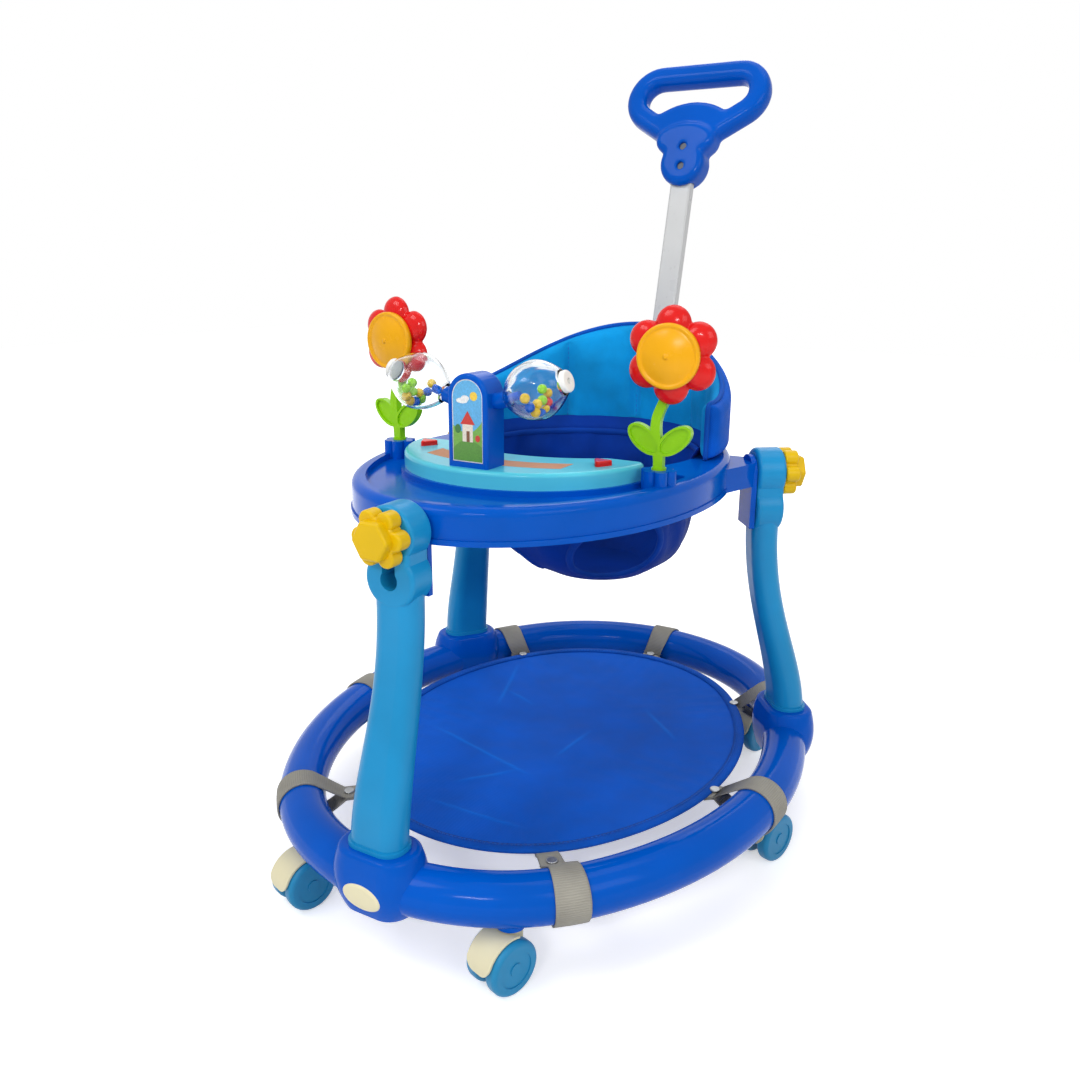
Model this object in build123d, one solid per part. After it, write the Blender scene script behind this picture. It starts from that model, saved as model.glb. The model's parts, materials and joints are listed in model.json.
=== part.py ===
from build123d import *
import os
from math import atan2, cos, degrees, radians, sin, sqrt

# Baby walker. Millimetres, +Z up, front of the walker towards -Y.
# Origin: the middle of the base oval, on the floor.

# Base ring: an oval of four tangent arcs, long along Y
RING_HALF_LENGTH = 322.0
RING_HALF_WIDTH = 256.0
RING_END_RADIUS = 220.0
TUBE_D = 48.0
TUBE_WALL = 3.0

# How far a cutting tool runs past the face it opens
OVERCUT = 1.0

# Sockets that hold the legs
LEG_SOCKET_HEIGHT = 36.0
LEG_SOCKET_WIDTH = 90.0
LEG_SOCKET_DEPTH = 58.0
LEG_SOCKET_DRAFT = 14.0
LEG_SOCKET_UNDERCUT = 20.0
LEG_SOCKET_FLAT = 4.0
LEG_SOCKET_EDGE = 5.0
SOCKET_CLEARANCE = 0.3

# Legs: plan angle of the foot on the ring and plan direction that the leg faces
LEG_NAMES = ("front", "right", "left")
LEG_FOOT_ANGLES = (-90.0, 33.3, 146.7)
LEG_FACINGS = (-90.0, 37.2, 142.8)
LEG_LEAN = 42.0
LEG_LEAN_SHARES = (0.47, 0.94)
LEG_BEND_Z = 294.0
LEG_FOOT_WIDTH = 55.0
LEG_FOOT_DEPTH = 34.0
LEG_NECK_WIDTH = 44.0
LEG_NECK_DEPTH = 30.0
LEG_END_FLAT = 2.0
LEG_WALL = 5.0
LEG_LIP = 4.0
SPIGOT_WIDTH = 50.0
SPIGOT_DEPTH = 28.0
SPIGOT_CORNER = 9.0
SPIGOT_LENGTH = 44.0
HEAD_Z = 397.0
HEIGHT_STEP = 40.0
LOBE_D = 52.0
HEAD_WAIST = 42.0
HEAD_EDGE = 4.0
SEAT_HOLE_D = 18.0
SLOT_WIDTH = 14.0

# Screw under each leg
LEG_SCREW_D = 5.0
LEG_SCREW_HEAD_D = 10.0
LEG_SCREW_HEAD_HEIGHT = 4.0
LEG_SCREW_GRIP = 18.0
LEG_SCREW_END_GAP = 1.0
SCREW_CROSS = 6.0
SCREW_CROSS_WIDTH = 1.2
SCREW_CROSS_DEPTH = 1.5

# Casters
CASTER_ANGLES = (-112.0, -68.0, 5.5, 57.0, 123.0, 174.5)
CASTER_HEADING = -107.0
CASTER_TRAIL = 11.0
WHEEL_D = 52.0
WHEEL_WIDTH = 14.0
WHEEL_EDGE = 4.5
RING_LIFT = 30.0
WHEEL_DISH_D = 34.0
WHEEL_HUB_D = 12.0
WHEEL_DISH = 1.0
WEB_WIDTH = 10.0
WHEEL_SIDE_GAP = 1.0
AXLE_D = 6.0
AXLE_REACH = 12.0
PIN_END_GAP = 0.5
STEM_D = 7.0
STEM_TOP_Z = 94.0
STEM_FOOT_Z = 33.0
RUNNING_CLEARANCE = 0.05
HOOD_GAP = 1.0
HOOD_SKIN = 2.0
HOOD_WIDTH = 30.0
HOOD_END_FLAT = 8.0
HOOD_FROM = 2.0
HOOD_TO = 108.0
TURRET_D = 20.0
BUSH_D = 16.0
BUSH_FLANGE_D = 24.0
BUSH_FLANGE = 1.5
CASTER_PAD_D = 28.0
CASTER_PAD_DROP = 0.5
TURRET_GAP = 0.5

# Floor mat and its straps
MAT_HALF_LENGTH = 258.0
MAT_HALF_WIDTH = 207.0
MAT_END_RADIUS = 180.0
MAT_Y = 12.0
MAT_THICKNESS = 4.0
MAT_EDGE = 1.6
STRAP_ANGLES = (90.0, 47.0, 133.0, -7.0, 187.0, -59.0, 239.0)
STRAP_WIDTH = 36.0
STRAP_THICKNESS = 2.0
STRAP_GAP = 0.3
STRAP_JOIN = 40.0
STRAP_TAIL_REACH = 130.0
SNAP_D = 11.0
SNAP_HEIGHT = 2.0

# Tray
TRAY_HALF_LENGTH = 248.5
TRAY_HALF_WIDTH = 179.0
TRAY_Y = -14.0
TRAY_TOP_Z = 418.0
TRAY_HEIGHT = 34.0
TRAY_EDGE = 8.0
TRAY_WALL = 4.0
TRAY_LIP = 1.5
TRAY_LIP_HEIGHT = 5.0
DECK_THICKNESS = 11.0
POCKET_DEPTH = 6.0
POCKET_INSET = 14.0
POCKET_REAR_Y = -36.0
SEAT_Y = 55.0
SEAT_HOLE_R = 136.0
COLLAR_WALL = 4.0
COLLAR_DROP = 30.0

# Lugs on the tray and the clamp at each leg
LUG_GAP = 0.8
LUG_THICKNESS = 6.0
LUG_WIDTH = 38.0
LUG_DROP = 60.0
LUG_ARM_WIDTH = 36.0
LUG_ARM_ROOT = 100.0
LUG_ARM_REACH = 46.0
BOLT_D = 12.0
INSERT_D = 18.0
INSERT_LENGTH = 28.0
INSERT_END_GAP = 1.0
BOLT_EMBED = 15.0
KNOB_GAP = 0.3
KNOB_SKIRT = 15.0
KNOB_FACE = 9.0
KNOB_CORE_D = 38.0
KNOB_LOBE_D = 17.0
KNOB_LOBE_R = 18.0
KNOB_LOBES = 6
KNOB_FACE_R = 19.0
KNOB_FACE_CORNER = 4.0
KNOB_EDGE = 2.5

# Toy panel
PANEL_Y = -55.0
PANEL_HALF_WIDTH = 133.0
PANEL_HALF_LENGTH = 127.0
PANEL_REAR_GAP = 12.0
PANEL_TIP_Y = -62.0
PANEL_PLINTH = 5.0
PANEL_MARGIN = 4.0
PANEL_HEIGHT = 16.0
PANEL_EDGE = 4.0
PANEL_CORNER = 9.0
INLAY_HALF_WIDTH = 76.0
INLAY_LENGTH = 24.0
INLAY_Y = -138.0
INLAY_BOW_R = 170.0
INLAY_HEIGHT = 3.0
BUTTON_X = 101.0
BUTTON_Y = -98.0
BUTTON_SIDE_R = 13.0
BUTTON_CORNER = 3.0
BUTTON_TRAVEL = 3.0
BUTTON_PROUD = 5.0
BUTTON_FLOOR_GAP = 1.0
BUTTON_EDGE = 1.5
BUTTON_CLEARANCE = 0.4

# Toy tower and rattles
TOWER_Y = -158.0
TOWER_WIDTH = 44.0
TOWER_DEPTH = 31.0
TOWER_HEIGHT = 87.0
TOWER_WALL = 2.5
TOWER_EDGE = 3.0
LABEL_INSET = 5.0
LABEL_RECESS = 1.0
RATTLE_DROP = 25.0
RATTLE_TILT = 18.0
ARM_D = 15.0
ARM_KNEE = 4.0
ARM_REACH = 12.0
PIN_D = 8.0
PIN_REACH = 14.0
RATTLE_D = 55.0
RATTLE_LENGTH = 62.0
RATTLE_WALL = 2.0
RATTLE_NECK_D = 16.0
RATTLE_GAP = 0.5
RATTLE_ROUNDNESS = (0.86, 0.84)
RATTLE_BOSS_WALL = 2.0
CAP_D = 20.0
CAP_THICKNESS = 5.0
CAP_HOLE_D = 6.0
CAP_FLOOR = 1.0
CAP_EDGE = 2.0
BEAD_D = 9.0
BEAD_COUNT = 7
BEAD_UPPER_COUNT = 3
BEAD_GAP = 0.2

# Flowers
FLOWER_X = 152.0
FLOWER_Y = -80.0
FLOWER_TURN = 5.0
FLOWER_SOCKET_D = 22.0
FLOWER_SOCKET_LOBES = 6
FLOWER_SOCKET_LOBE_D = 12.0
FLOWER_SOCKET_TOP_Z = 431.0
STEM_PLUG_D = 12.0
STEM_PLUG_LENGTH = 14.0
STEM_WIDTH = 9.0
STEM_THICKNESS = 8.0
STEM_COLLAR_D = 14.0
STEM_COLLAR = 2.0
STEM_SWAY = 12.0

# Bends of a flower stem: share of the sway and share of the height
STEM_BENDS = ((-0.2, 0.25), (-0.3, 0.42), (0.8, 0.74), (1.0, 1.0))
LEAF_LENGTH = 38.0
LEAF_WIDTH = 21.0
LEAF_TILT = 50.0
LEAF_Z = 447.0
LEAF_RIM = 2.5
LEAF_CUP = 4.0
FLOWER_HEAD_Z = 538.0
PETAL_COUNT = 6
PETAL_D = 34.0
PETAL_CIRCLE_R = 28.0
PETAL_THICKNESS = 11.0
PETAL_EDGE = 4.0
PETAL_NOTCH_R = 5.0
CENTRE_D = 58.0
CENTRE_HEIGHT = 11.0
CENTRE_RIM = 4.0
HEAD_PIN_D = 6.0
HEAD_HUB_D = 20.0
HEAD_HUB_LENGTH = 6.0
HEAD_GAP = 0.4

# Seat and back rest
SLING_TOP_Z = 411.0
SLING_THICKNESS = 3.0
SLING_GAP = 0.4
SLING_DROP = 148.0

# Levels of the seat: share of the drop, share of the top radius and shift along Y
SLING_LEVELS = ((0, 1.0, 0), (0.22, 0.975, 0), (0.45, 0.92, 8), (0.78, 0.77, 29), (1.0, 0.46, 48))
SLING_OVAL = (0.985, 0.95)
LEG_HOLE_D = 100.0
LEG_HOLE_X = 57.0
LEG_HOLE_Y = 14.0
LEG_HOLE_Z = 324.0
LEG_HOLE_PITCH = 8.0
LEG_HOLE_TURN = 45.0
LEG_HOLE_REACH = 110.0
LEG_HOLE_BACK = 25.0
PAD_R = 164.0
PAD_THICKNESS = 24.0
PAD_TOP_Z = 545.0
PAD_SIDE_Z = 462.0
PAD_SWEEP = 190.0
PAD_GAP = 0.3
PAD_EDGE = 9.0
PAD_CHANNELS = (55.0, 90.0, 125.0)
PAD_CHANNEL_D = 5.0
PAD_CHANNEL_RISE = 1.0

# Push handle
HANDLE_Y = 246.0
HANDLE_LEAN = 14.0
HANDLE_TUBE_WIDTH = 28.0
HANDLE_TUBE_DEPTH = 14.0
HANDLE_TUBE_WALL = 1.5
HANDLE_TUBE_CORNER = 3.0
HANDLE_SOCKET_DEPTH = 42.0
HANDLE_SOCKET_RISE = 10.0
HANDLE_SOCKET_WALL = 6.0
HANDLE_SOCKET_FLOOR = 4.0
HANDLE_CLEARANCE = 0.2
HANDLE_TUBE_TOP = 308.0
HUB_DEPTH = 34.0
HUB_LOWER_D = 58.0
HUB_UPPER_WIDTH = 78.0
HUB_UPPER_HEIGHT = 44.0
HUB_PITCH = 28.0
HUB_FOOT = 12.0
HUB_EDGE = 6.8
GRIP_WIDTH = 190.0
GRIP_END_R = 43.0
GRIP_WAIST_DROP = 34.0
GRIP_BOW_R = 78.0
GRIP_BOW_RISE = 6.0
GRIP_GAP_CORNER = 5.0
GRIP_BAR = 27.0
GRIP_THICKNESS = 28.0
GRIP_RISE = 107.0
GRIP_TILT = 12.0
GRIP_EDGE = 10.0
GRIP_SCREW_D = 4.0
GRIP_SCREW_HEAD_D = 9.0
GRIP_SCREW_HEAD_HEIGHT = 2.5
GRIP_SCREW_LENGTH = 20.0
GRIP_SCREW_END_GAP = 1.0
GRIP_SCREW_RECESS = 6.0
GRIP_SCREW_PITCH = 24.0
GRIP_SCREW_FIRST = 24.0


# Shared shapes

def side_radius(half_length, half_width, end_radius):
    reach = half_length - end_radius
    return (reach ** 2 + half_width ** 2 - end_radius ** 2) / (2 * (half_width - end_radius))


def oval_corner(half_length, half_width, end_radius):
    """Where the end arc meets the side arc, in the +X +Y quarter."""
    reach = half_length - end_radius
    side = side_radius(half_length, half_width, end_radius)
    span = side - end_radius
    return half_width - side + side * (side - half_width) / span, side * reach / span


def oval_wire(half_length, half_width, end_radius):
    """A closed line of four tangent arcs, long along Y."""
    x, y = oval_corner(half_length, half_width, end_radius)
    corners = [(x, -y), (x, y), (-x, y), (-x, -y)]
    middles = [(half_width, 0), (0, half_length), (-half_width, 0), (0, -half_length)]
    arcs = [ThreePointArc(corners[i], middles[i], corners[(i + 1) % 4]) for i in range(4)]
    return Wire(arcs)


def oval_face(half_length, half_width, end_radius):
    return Face(oval_wire(half_length, half_width, end_radius))


def ring_spot(angle):
    """Centre-line point at a plan angle, the plan angle of its outward normal and its arc radius."""
    ux, uy = cos(radians(angle)), sin(radians(angle))
    corner_x, corner_y = oval_corner(RING_HALF_LENGTH, RING_HALF_WIDTH, RING_END_RADIUS)
    if abs(uy) * corner_x <= abs(ux) * corner_y:
        radius = side_radius(RING_HALF_LENGTH, RING_HALF_WIDTH, RING_END_RADIUS)
        cx, cy = (RING_HALF_WIDTH - radius) * (1 if ux > 0 else -1), 0
    else:
        radius = RING_END_RADIUS
        cx, cy = 0, (RING_HALF_LENGTH - radius) * (1 if uy > 0 else -1)
    dot = ux * cx + uy * cy
    reach = dot + sqrt(dot ** 2 - cx ** 2 - cy ** 2 + radius ** 2)
    x, y = reach * ux, reach * uy
    return x, y, degrees(atan2(y - cy, x - cx)), radius


def at_ring(angle):
    """Frame on the ring's centre line, at floor level, with its -Y outward."""
    x, y, normal, radius = ring_spot(angle)
    return Pos(x, y, 0) * Rot(0, 0, normal + 90)


def at_leg(index):
    """Frame under a leg's foot, at floor level, with -Y the way that the leg faces."""
    x, y, normal, radius = ring_spot(LEG_FOOT_ANGLES[index])
    return Pos(x, y, 0) * Rot(0, 0, LEG_FACINGS[index] + 90)


def prism(sketch, low, high):
    """A plan sketch drawn up from one height to another."""
    return Pos(0, 0, low) * extrude(sketch, high - low)


def wide_prism(sketch, depth, y=0):
    """A sketch in X and Z, drawn both ways along Y about a given y."""
    return Pos(0, y, 0) * extrude(Plane.XZ * sketch, depth / 2, both=True)


def round_bar(diameter, low, high):
    return Pos(0, 0, low) * extrude(Circle(diameter / 2), high - low)


def cross_bar(diameter, start, length):
    """A round bar along +Y from the point start."""
    return Pos(*start) * Rot(-90, 0, 0) * extrude(Circle(diameter / 2), length)


def edges_at(shape, z):
    return [e for e in shape.edges() if abs(e.center().Z - z) < 1e-3]


def face_edges(shape, depth):
    """Edges round the two faces of a plate that stands in X and Z about y = 0."""
    return [e for e in shape.edges() if abs(abs(e.center().Y) - depth / 2) < 1e-3]


# Base

ring_z = WHEEL_D + RING_LIFT
socket_top_z = ring_z + LEG_SOCKET_HEIGHT
tube_bottom_z = ring_z - TUBE_D / 2
caster_pad_z = tube_bottom_z - CASTER_PAD_DROP
bush_foot_z = caster_pad_z - BUSH_FLANGE
spigot_foot_z = socket_top_z - SPIGOT_LENGTH


def ring_tube(diameter):
    path = oval_wire(RING_HALF_LENGTH, RING_HALF_WIDTH, RING_END_RADIUS)
    start = Plane(origin=path @ 0, z_dir=path % 0)
    return Pos(0, 0, ring_z) * sweep(start * Circle(diameter / 2), path=path)


def leg_socket():
    """Swollen boss round a leg's foot, in the leg's frame."""
    levels = (tube_bottom_z, ring_z, socket_top_z)
    shrinks = (LEG_SOCKET_UNDERCUT, 0, LEG_SOCKET_DRAFT)
    sections = []
    for level, shrink in zip(levels, shrinks):
        width = LEG_SOCKET_WIDTH - shrink
        depth = LEG_SOCKET_DEPTH - shrink / 2
        corner = (depth - LEG_SOCKET_FLAT) / 2
        sections.append(Pos(0, 0, level) * RectangleRounded(width, depth, corner))
    boss = loft(sections)
    return fillet(edges_at(boss, socket_top_z), LEG_SOCKET_EDGE)


def leg_socket_hole():
    plug = RectangleRounded(SPIGOT_WIDTH, SPIGOT_DEPTH, SPIGOT_CORNER)
    hole = prism(offset(plug, SOCKET_CLEARANCE), spigot_foot_z, socket_top_z + OVERCUT)
    low = tube_bottom_z - OVERCUT
    screw = round_bar(LEG_SCREW_D + 2 * SOCKET_CLEARANCE, low, spigot_foot_z + OVERCUT)
    head = round_bar(LEG_SCREW_HEAD_D + 2 * SOCKET_CLEARANCE, low,
                     tube_bottom_z + LEG_SCREW_HEAD_HEIGHT)
    return hole + screw + head


def base_ring():
    outer = ring_tube(TUBE_D)
    void = ring_tube(TUBE_D - 2 * TUBE_WALL)
    cuts = []
    for index in range(len(LEG_NAMES)):
        boss = at_leg(index) * leg_socket()
        outer = outer + boss
        void = void - boss
        cuts.append(at_leg(index) * leg_socket_hole())
    for angle in CASTER_ANGLES:
        post = at_ring(angle) * round_bar(CASTER_PAD_D, caster_pad_z, ring_z)
        core = at_ring(angle) * round_bar(CASTER_PAD_D, caster_pad_z, ring_z + TUBE_D / 2)
        outer = outer + post
        void = void - core
        cuts.append(at_ring(angle) * round_bar(BUSH_D, caster_pad_z - OVERCUT, STEM_TOP_Z))
    ring = outer - void
    for cut in cuts:
        ring = ring - cut
    return ring


def leg_levels():
    """Height, width, depth and inward shift of the leg's sections."""
    rise = LEG_BEND_Z - socket_top_z
    half = socket_top_z + rise / 2
    mid_width = (LEG_FOOT_WIDTH + LEG_NECK_WIDTH) / 2
    mid_depth = (LEG_FOOT_DEPTH + LEG_NECK_DEPTH) / 2
    head_foot = HEAD_Z - HEIGHT_STEP
    settle = (LEG_BEND_Z + head_foot) / 2
    return [(socket_top_z, LEG_FOOT_WIDTH, LEG_FOOT_DEPTH, 0),
            (half, mid_width, mid_depth, LEG_LEAN * LEG_LEAN_SHARES[0]),
            (LEG_BEND_Z, LEG_NECK_WIDTH, LEG_NECK_DEPTH, LEG_LEAN * LEG_LEAN_SHARES[1]),
            (settle, LEG_NECK_WIDTH, LEG_NECK_DEPTH, LEG_LEAN),
            (head_foot, LEG_NECK_WIDTH, LEG_NECK_DEPTH, LEG_LEAN)]


def leg_loft(levels, inset):
    sections = []
    for z, width, depth, shift in levels:
        size = depth - 2 * inset
        corner = (size - LEG_END_FLAT) / 2
        sections.append(Pos(0, shift, z) * RectangleRounded(width - 2 * inset, size, corner))
    return loft(sections)


def leg():
    levels = leg_levels()
    low_z = HEAD_Z - HEIGHT_STEP
    lobes = Pos(0, HEAD_Z) * Circle(LOBE_D / 2) + Pos(0, low_z) * Circle(LOBE_D / 2)
    waist = Pos(0, HEAD_Z - HEIGHT_STEP / 2) * Rectangle(HEAD_WAIST, HEIGHT_STEP)
    head = wide_prism(lobes + waist, LEG_NECK_DEPTH)
    head = Pos(0, LEG_LEAN, 0) * fillet(face_edges(head, LEG_NECK_DEPTH), HEAD_EDGE)
    shaft = leg_loft(levels, 0)
    lip_sketch = RectangleRounded(LEG_FOOT_WIDTH + LEG_LIP, LEG_FOOT_DEPTH + LEG_LIP, LEG_FOOT_DEPTH / 2)
    lip = prism(lip_sketch, socket_top_z, socket_top_z + LEG_LIP)
    plug = RectangleRounded(SPIGOT_WIDTH, SPIGOT_DEPTH, SPIGOT_CORNER)
    spigot = prism(plug, spigot_foot_z, socket_top_z)
    void_levels = [(z + LEG_WALL, w, d, s) for z, w, d, s in levels[:1]] + levels[1:4]
    body = head + shaft + lip + spigot - leg_loft(void_levels, LEG_WALL)
    seats = Pos(0, HEAD_Z) * Circle(SEAT_HOLE_D / 2) + Pos(0, low_z) * Circle(SEAT_HOLE_D / 2)
    neck = Pos(0, HEAD_Z - HEIGHT_STEP / 2) * Rectangle(SLOT_WIDTH, HEIGHT_STEP)
    slot = wide_prism(seats + neck, 2 * LEG_NECK_DEPTH, LEG_LEAN)
    screw_hole = round_bar(LEG_SCREW_D, spigot_foot_z - OVERCUT, spigot_foot_z + LEG_SCREW_GRIP)
    return body - slot - screw_hole


def leg_screw():
    shank_foot = tube_bottom_z + LEG_SCREW_HEAD_HEIGHT
    head = round_bar(LEG_SCREW_HEAD_D, tube_bottom_z, shank_foot)
    cross = Box(SCREW_CROSS, SCREW_CROSS_WIDTH, 2 * SCREW_CROSS_DEPTH)
    cross += Box(SCREW_CROSS_WIDTH, SCREW_CROSS, 2 * SCREW_CROSS_DEPTH)
    tip = spigot_foot_z + LEG_SCREW_GRIP - LEG_SCREW_END_GAP
    return head - Pos(0, 0, tube_bottom_z) * cross + round_bar(LEG_SCREW_D, shank_foot, tip)


# Casters, in a frame on the ring with -Y the way that the wheels trail

axle_z = WHEEL_D / 2
turret_top_z = bush_foot_z - TURRET_GAP
hood_inner_r = WHEEL_D / 2 + HOOD_GAP
hood_outer_r = hood_inner_r + HOOD_SKIN
wheel_inner = WEB_WIDTH / 2 + WHEEL_SIDE_GAP


def at_caster(angle):
    x, y, normal, radius = ring_spot(angle)
    return Pos(x, y, 0) * Rot(0, 0, CASTER_HEADING + 90)


def side_sector(radius, start, sweep_angle):
    """Pie slice in Y and Z about the axle; angles rise from the trailing side."""
    pie = Plane.YZ * (Rot(0, 0, 180 - start - sweep_angle) * sector(radius, sweep_angle))
    return Pos(0, -CASTER_TRAIL, axle_z) * pie


def sector(radius, sweep_angle):
    start = (radius, 0)
    middle = (radius * cos(radians(sweep_angle / 2)), radius * sin(radians(sweep_angle / 2)))
    end = (radius * cos(radians(sweep_angle)), radius * sin(radians(sweep_angle)))
    outline = [Line((0, 0), start), ThreePointArc(start, middle, end), Line(end, (0, 0))]
    return make_face(outline)


def caster_hood():
    sweep_angle = HOOD_TO - HOOD_FROM
    band = extrude(side_sector(hood_outer_r, HOOD_FROM, sweep_angle), HOOD_WIDTH / 2, both=True)
    axle_spot = Pos(0, -CASTER_TRAIL, axle_z) * Rot(0, 90, 0)
    band -= axle_spot * Cylinder(hood_inner_r, 2 * HOOD_WIDTH)
    tongue_foot_z = axle_z + hood_outer_r * sin(radians(HOOD_FROM))
    tongue = RectangleRounded(HOOD_WIDTH, 4 * hood_outer_r, (HOOD_WIDTH - HOOD_END_FLAT) / 2)
    tongue = Rot(90, 0, 0) * extrude(tongue, 2 * CASTER_TRAIL + 2 * hood_outer_r, both=True)
    band &= Pos(0, 0, tongue_foot_z + 2 * hood_outer_r) * tongue
    web_side = side_sector(hood_inner_r + HOOD_SKIN / 3, HOOD_FROM, sweep_angle)
    web = extrude(web_side, WEB_WIDTH / 2, both=True)
    web += axle_spot * Cylinder(AXLE_D, WEB_WIDTH)
    post = prism(Rectangle(WEB_WIDTH, TURRET_D), STEM_FOOT_Z, turret_top_z)
    turret = round_bar(TURRET_D, axle_z + hood_inner_r, turret_top_z)
    bore = axle_spot * Cylinder(AXLE_D / 2, 2 * WEB_WIDTH)
    stem_hole = round_bar(STEM_D, STEM_FOOT_Z, turret_top_z + OVERCUT)
    return band + web + post + turret - bore - stem_hole


def caster_pins():
    stem = round_bar(STEM_D, STEM_FOOT_Z, STEM_TOP_Z - 2 * PIN_END_GAP)
    half = wheel_inner + AXLE_REACH
    axle = Pos(0, -CASTER_TRAIL, axle_z) * Rot(0, 90, 0) * Cylinder(AXLE_D / 2, 2 * half)
    return Compound([stem, axle])


def caster_wheels():
    wheels = []
    for side in (1, -1):
        disc = Cylinder(WHEEL_D / 2, WHEEL_WIDTH)
        disc = fillet(disc.edges().filter_by(GeomType.CIRCLE), WHEEL_EDGE)
        dish = Cylinder(WHEEL_DISH_D / 2, 2 * WHEEL_DISH) - Cylinder(WHEEL_HUB_D / 2, 2 * WHEEL_DISH)
        disc -= Pos(0, 0, side * WHEEL_WIDTH / 2) * dish
        bore_length = AXLE_REACH + PIN_END_GAP
        bore_mid = -side * (WHEEL_WIDTH - bore_length) / 2
        disc -= Pos(0, 0, bore_mid) * Cylinder(AXLE_D / 2 + RUNNING_CLEARANCE, bore_length)
        x = side * (wheel_inner + WHEEL_WIDTH / 2)
        wheels.append(Pos(x, -CASTER_TRAIL, axle_z) * Rot(0, 90, 0) * disc)
    return Compound(wheels)


def caster_bush():
    flange = round_bar(BUSH_FLANGE_D, bush_foot_z, caster_pad_z)
    sleeve = round_bar(BUSH_D, caster_pad_z, STEM_TOP_Z)
    bore_d = STEM_D + 2 * RUNNING_CLEARANCE
    return flange + sleeve - round_bar(bore_d, bush_foot_z - OVERCUT, STEM_TOP_Z - PIN_END_GAP)


# Floor mat

def mat_outline(grow):
    face = oval_face(MAT_HALF_LENGTH + grow, MAT_HALF_WIDTH + grow, MAT_END_RADIUS + grow)
    return Pos(0, MAT_Y) * face


def floor_mat():
    mat = prism(mat_outline(0), ring_z - MAT_THICKNESS / 2, ring_z + MAT_THICKNESS / 2)
    return fillet(mat.edges(), MAT_EDGE)


def strap(angle):
    """Webbing loop round the tube, drawn in to one tail that ends at the mat."""
    x, y, normal, radius = ring_spot(angle)
    inner_r = TUBE_D / 2 + STRAP_GAP
    outer = Circle(inner_r + STRAP_THICKNESS) + Pos(STRAP_JOIN, 0) * Circle(STRAP_THICKNESS)
    inner = Circle(inner_r) + Pos(STRAP_JOIN - STRAP_THICKNESS, 0) * Circle(STRAP_GAP)
    loop = make_hull(outer.edges()) - make_hull(inner.edges())
    tail_mid = (STRAP_JOIN + STRAP_TAIL_REACH) / 2
    tail = Pos(tail_mid, 0) * Rectangle(STRAP_TAIL_REACH - STRAP_JOIN, 2 * STRAP_THICKNESS)
    section = Plane.YZ * (loop + tail)
    half_turn = degrees(STRAP_WIDTH / 2 / radius)
    axis = Axis((0, radius, 0), (0, 0, 1))
    band = revolve(section, axis, revolution_arc=2 * half_turn)
    band = band.rotate(axis, -half_turn)
    placed = at_ring(angle) * Pos(0, 0, ring_z) * band
    return placed - prism(mat_outline(STRAP_GAP), ring_z - TUBE_D, ring_z + TUBE_D)


def strap_snap(angle):
    foot = ring_z + STRAP_THICKNESS
    stud = round_bar(SNAP_D, foot, foot + SNAP_HEIGHT)
    stud = fillet(edges_at(stud, foot + SNAP_HEIGHT), SNAP_HEIGHT / 2)
    return at_ring(angle) * Pos(0, STRAP_JOIN + STRAP_THICKNESS + SNAP_D / 2, 0) * stud


# Tray

tray_foot_z = TRAY_TOP_Z - TRAY_HEIGHT
deck_foot_z = TRAY_TOP_Z - DECK_THICKNESS
pocket_z = TRAY_TOP_Z - POCKET_DEPTH
panel_foot_z = pocket_z + PANEL_PLINTH
panel_top_z = panel_foot_z + PANEL_HEIGHT


def tray_outline(inset):
    return Pos(0, TRAY_Y) * Ellipse(TRAY_HALF_WIDTH - inset, TRAY_HALF_LENGTH - inset)


def seat_circle(radius):
    return Pos(0, SEAT_Y) * Circle(radius)


def panel_block(grow, low, high):
    """Crescent in front of the seat opening, with rounded tips."""
    crescent = Pos(0, PANEL_Y) * Ellipse(PANEL_HALF_WIDTH + grow, PANEL_HALF_LENGTH + grow)
    crescent -= seat_circle(SEAT_HOLE_R + PANEL_REAR_GAP - grow)
    half = PANEL_HALF_WIDTH + PANEL_MARGIN
    rear = Pos(0, PANEL_TIP_Y + grow + half) * Rectangle(4 * half, 2 * half)
    block = prism(crescent - rear, low, high)
    return fillet(block.edges().filter_by(Axis.Z), PANEL_CORNER)


def flower_socket():
    spot = Circle(FLOWER_SOCKET_D / 2)
    for k in range(FLOWER_SOCKET_LOBES):
        lobe_spot = Rot(0, 0, k * 360 / FLOWER_SOCKET_LOBES) * Pos(FLOWER_SOCKET_D / 2, 0)
        spot += lobe_spot * Circle(FLOWER_SOCKET_LOBE_D / 2)
    return prism(spot, deck_foot_z, FLOWER_SOCKET_TOP_Z)


def lug(index):
    """Plate behind a leg's head and the arm that carries it, in the leg's frame."""
    face = LEG_LEAN + LEG_NECK_DEPTH / 2 + LUG_GAP
    low = HEAD_Z - LUG_DROP
    plate = Pos(0, HEAD_Z) * Circle(LUG_WIDTH / 2)
    plate += Pos(0, (HEAD_Z + low) / 2) * Rectangle(LUG_WIDTH, HEAD_Z - low)
    plate = wide_prism(plate, LUG_THICKNESS, face + LUG_THICKNESS / 2)
    tip_y = face + LUG_THICKNESS / 2
    root_y = tip_y + LUG_ARM_REACH
    corners = [(LUG_ARM_WIDTH / 2, tip_y), (LUG_ARM_ROOT / 2, root_y)]
    corners += [(-x, y) for x, y in reversed(corners)]
    arm = prism(make_face(Polyline(*corners, close=True)), tray_foot_z, (deck_foot_z + pocket_z) / 2)
    return at_leg(index) * (plate + arm)


def head_space(index):
    """Room in front of a lug's face, where the leg's head stands at every height of the tray."""
    face = LEG_LEAN + LEG_NECK_DEPTH / 2 + LUG_GAP
    room = Pos(0, face - LEG_NECK_DEPTH) * Rectangle(LOBE_D, 2 * LEG_NECK_DEPTH)
    return at_leg(index) * prism(room, tray_foot_z - OVERCUT, TRAY_TOP_Z + OVERCUT)


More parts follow.
